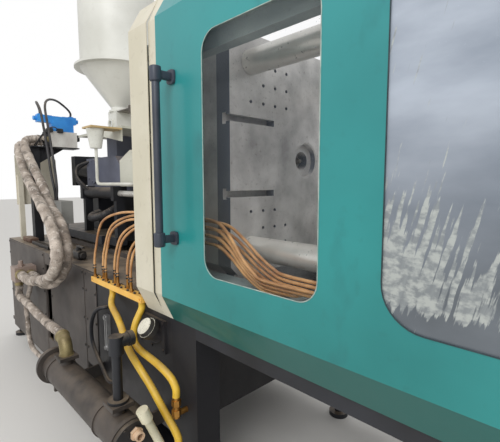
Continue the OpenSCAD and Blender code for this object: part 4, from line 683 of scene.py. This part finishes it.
# Valve wiring and coils
# Black moulded plugs stand on the pale valve block, and thin wires loop over its face and
# down to the frame. They are tied together and held by the plugs' glands.
WIRE_RADIUS = 0.0045
loom = [bar((-2.6, y, z), (0.030, 0.022, 0.030), 1) for y, z in
        ((-0.400, 1.955), (-0.400, 1.885), (-0.135, 1.945))]
loom += [bar((-2.545, y, 1.995), (0.028, 0.024, 0.020), 0) for y in (-0.385, -0.300)]
for start, middle, end in (
    ((-2545, -385, 2000), (-2480, -455, 1955), (-2560, -500, 1842)),
    ((-2545, -300, 2000), (-2440, -430, 1990), (-2545, -505, 1846)),
    ((-2600, -420, 1955), (-2560, -470, 1900), (-2600, -500, 1846)),
    ((-2600, -420, 1885), (-2500, -480, 1880), (-2480, -470, 1940)),
):
    bow = curve_through([start, ((start[0] + middle[0]) / 2 + 12, (start[1] + middle[1]) / 2,
                                 (start[2] + middle[2]) / 2 + 22), middle,
                         ((end[0] + middle[0]) / 2 + 10, (end[1] + middle[1]) / 2 - 12,
                          (end[2] + middle[2]) / 2), end], 8)
    loom.append(carried(bow, WIRE_RADIUS, 10))
piece("valve_wiring", loom, black_rubber, "machine")

# Conduits on the frame
# Black corrugated conduits run between the housing and the carriage frame, clipped to the
# casting, beside a bent rubber suction hose.
conduits = []
for route, radius, turns in (
    ([(-2050, -262, 1690), (-2060, -330, 1640), (-1990, -372, 1560), (-1900, -360, 1500),
      (-1840, -330, 1440)], 0.011, 46),
    ([(-1990, -262, 1700), (-2010, -350, 1660), (-1930, -392, 1580), (-1850, -372, 1510),
      (-1800, -330, 1450)], 0.011, 46),
    ([(-1760, -300, 1300), (-1700, -380, 1280), (-1600, -410, 1276), (-1500, -380, 1300),
      (-1440, -310, 1350)], 0.026, 30),
):
    path = curve_through(route, 40)
    share = np.linspace(0, 1, len(path))
    ripple = radius * (1 + 0.10 * np.sin(2 * np.pi * turns * share))
    conduits.append(carried(path, ripple, 14))
piece("frame_conduits", conduits, black_rubber, "carriage")

# Things on the base's ledge
# A worn brown wooden block, an open-sided cable chain of black links, and a small black
# cast valve with its lever, left on or screwed to the top of the base.
CHAIN_START_X, LINK_PITCH = -2.42, 0.030
wood = surface("worn_wood", (84, 62, 50), (122, 92, 74), 0.7, blotch=9.0, grain=(0.2, 4, 4),
               dust=0.5)
piece("packing_block", [bar((-2.60, -0.57, 1.0305), (0.11, 0.035, 0.020), 0, power=7.0)], wood,
      "machine")
links = []
for i in range(14):
    x = CHAIN_START_X + LINK_PITCH * i
    for y in (-0.602, -0.562):
        links.append(bar((x, y, 1.0245), (0.0165, 0.0030, 0.0135), 1))
    links.append(bar((x, -0.582, 1.0355), (0.0070, 0.0200, 0.0020), 1))
    links.append(bar((x, -0.582, 1.0130), (0.0070, 0.0200, 0.0020), 1))
piece("cable_chain", links, black_head, "machine")
valve = [bar((-1.50, -0.56, 1.040), (0.060, 0.030, 0.0300), 0, power=4.0),
         bar((-1.50, -0.56, 1.078), (0.018, 0.018, 0.014), 2, power=2.2),
         bar((-1.47, -0.56, 1.096), (0.055, 0.008, 0.006), 0)]
valve += [bar((-1.50 + side * 0.070, -0.56, 1.040), (0.016, 0.020, 0.020), 0, power=2.2)
          for side in (-1, 1)]
piece("ledge_valve", valve, black_head, "machine")

# Oil cooler
# Dusty brown-grey shell, dark caps, and pale moulded water ports standing out of the cap.
PORT_START_X = -0.1445
dress(surface("cooler_paint", (42, 38, 36), (74, 67, 62), 0.5, blotch=5.0, bump=0.12, dust=0.6,
              dust_tone=(104, 92, 80)), "cooler_shell")
caps = surface("cooler_cap_paint", (26, 26, 28), (48, 46, 46), 0.5, blotch=6.0, dust=0.5)
tree = caps.node_tree
split = tree.nodes.new("ShaderNodeSeparateXYZ")
tree.links.new(tree.nodes["Texture Coordinate"].outputs["Object"], split.inputs[0])
port = tree.nodes.new("ShaderNodeMath")
port.operation = "GREATER_THAN"
port.inputs[1].default_value = PORT_START_X
tree.links.new(split.outputs[0], port.inputs[0])
overlay(caps, port.outputs[0], (206, 176, 146))
dress(caps, "cooler_caps")

# Water supply fittings
# Yellow painted manifold bar, turned brass tails, white waste pipe, filler cap and gauge.
# The cap's top is pale and chipped, and its rim is dark.
CAP_AXIS = (0, -0.766, 0.643)
dress(surface("manifold_paint", (226, 172, 72), (244, 194, 92), 0.42, blotch=6.0, dust=0.3,
              wear=0.6, wear_tone=(150, 120, 76)), "water_manifold")
dress(surface("worn_brass", (140, 96, 44), (196, 146, 74), 0.34, metal=0.85, blotch=20.0,
              spots=0.3), "brass_fittings")
dress(surface("white_pipe", (200, 194, 166), (226, 220, 194), 0.4, blotch=9.0, dust=0.4,
              spots=0.2), "pvc_pipe")
cap_finish = surface("chipped_cap_paint", (196, 190, 170), (222, 218, 202), 0.5, blotch=14.0,
                     spots=0.9, spot_tone=(60, 58, 54), wear=0.9, wear_tone=(52, 50, 48))
tree = cap_finish.node_tree
facing = tree.nodes.new("ShaderNodeVectorMath")
facing.operation = "DOT_PRODUCT"
tree.links.new(tree.nodes.new("ShaderNodeNewGeometry").outputs["Normal"], facing.inputs[0])
facing.inputs[1].default_value = CAP_AXIS
overlay(cap_finish, ramp(tree, facing.outputs["Value"], 0.70, 0.90, (1, 1, 1, 1), (0, 0, 0, 1)),
        (46, 44, 42))
dress(cap_finish, "filler_cap")
dress(surface("gauge_aluminium", (150, 150, 150), (190, 190, 190), 0.35, metal=0.7,
              blotch=12.0), "level_gauge")

# Floor and light
# A plain pale floor, an even sky that metal and glass also mirror, and one soft lamp.
FLOOR_REACH = 40
FLOOR_Z = -0.001
SKY_STRENGTH = 0.80
WHITE = (1, 1, 1, 1)
LAMP_PLACE = (2.5, -5.0, 5.0)
LAMP_TILT = np.radians(45)
floor_mesh = bpy.data.meshes.new("floor")
floor_mesh.from_pydata([(x * FLOOR_REACH, y * FLOOR_REACH, FLOOR_Z)
                        for x, y in ((-1, -1), (1, -1), (1, 1), (-1, 1))], [], [(0, 1, 2, 3)])
floor = bpy.data.objects.new("floor", floor_mesh)
bpy.context.scene.collection.objects.link(floor)
floor_finish = bpy.data.materials.new("pale_floor")
floor_finish.use_nodes = True
shader = floor_finish.node_tree.nodes["Principled BSDF"]
shader.inputs["Base Color"].default_value = srgb(226, 224, 220)
shader.inputs["Roughness"].default_value = 0.9
floor_mesh.materials.append(floor_finish)

sky = bpy.data.worlds.new("even_sky")
bpy.context.scene.world = sky
sky.use_nodes = True
tree = sky.node_tree
mirrored = tree.nodes["Background"]
mirrored.inputs["Color"].default_value = WHITE
mirrored.inputs["Strength"].default_value = SKY_STRENGTH
shown = tree.nodes.new("ShaderNodeBackground")
shown.inputs["Color"].default_value = WHITE
rays = tree.nodes.new("ShaderNodeLightPath")
blend = tree.nodes.new("ShaderNodeMixShader")
tree.links.new(rays.outputs["Is Camera Ray"], blend.inputs[0])
tree.links.new(mirrored.outputs[0], blend.inputs[1])
tree.links.new(shown.outputs[0], blend.inputs[2])
tree.links.new(blend.outputs[0], tree.nodes["World Output"].inputs[0])

lamp = bpy.data.objects.new("soft_lamp", bpy.data.lights.new("soft_lamp", "AREA"))
bpy.context.scene.collection.objects.link(lamp)
lamp.data.size = 4.0
lamp.data.energy = 260
lamp.matrix_world = Matrix.Translation(LAMP_PLACE) @ Matrix.Rotation(LAMP_TILT, 4, "X")

bpy.context.scene.view_settings.view_transform = "Standard"
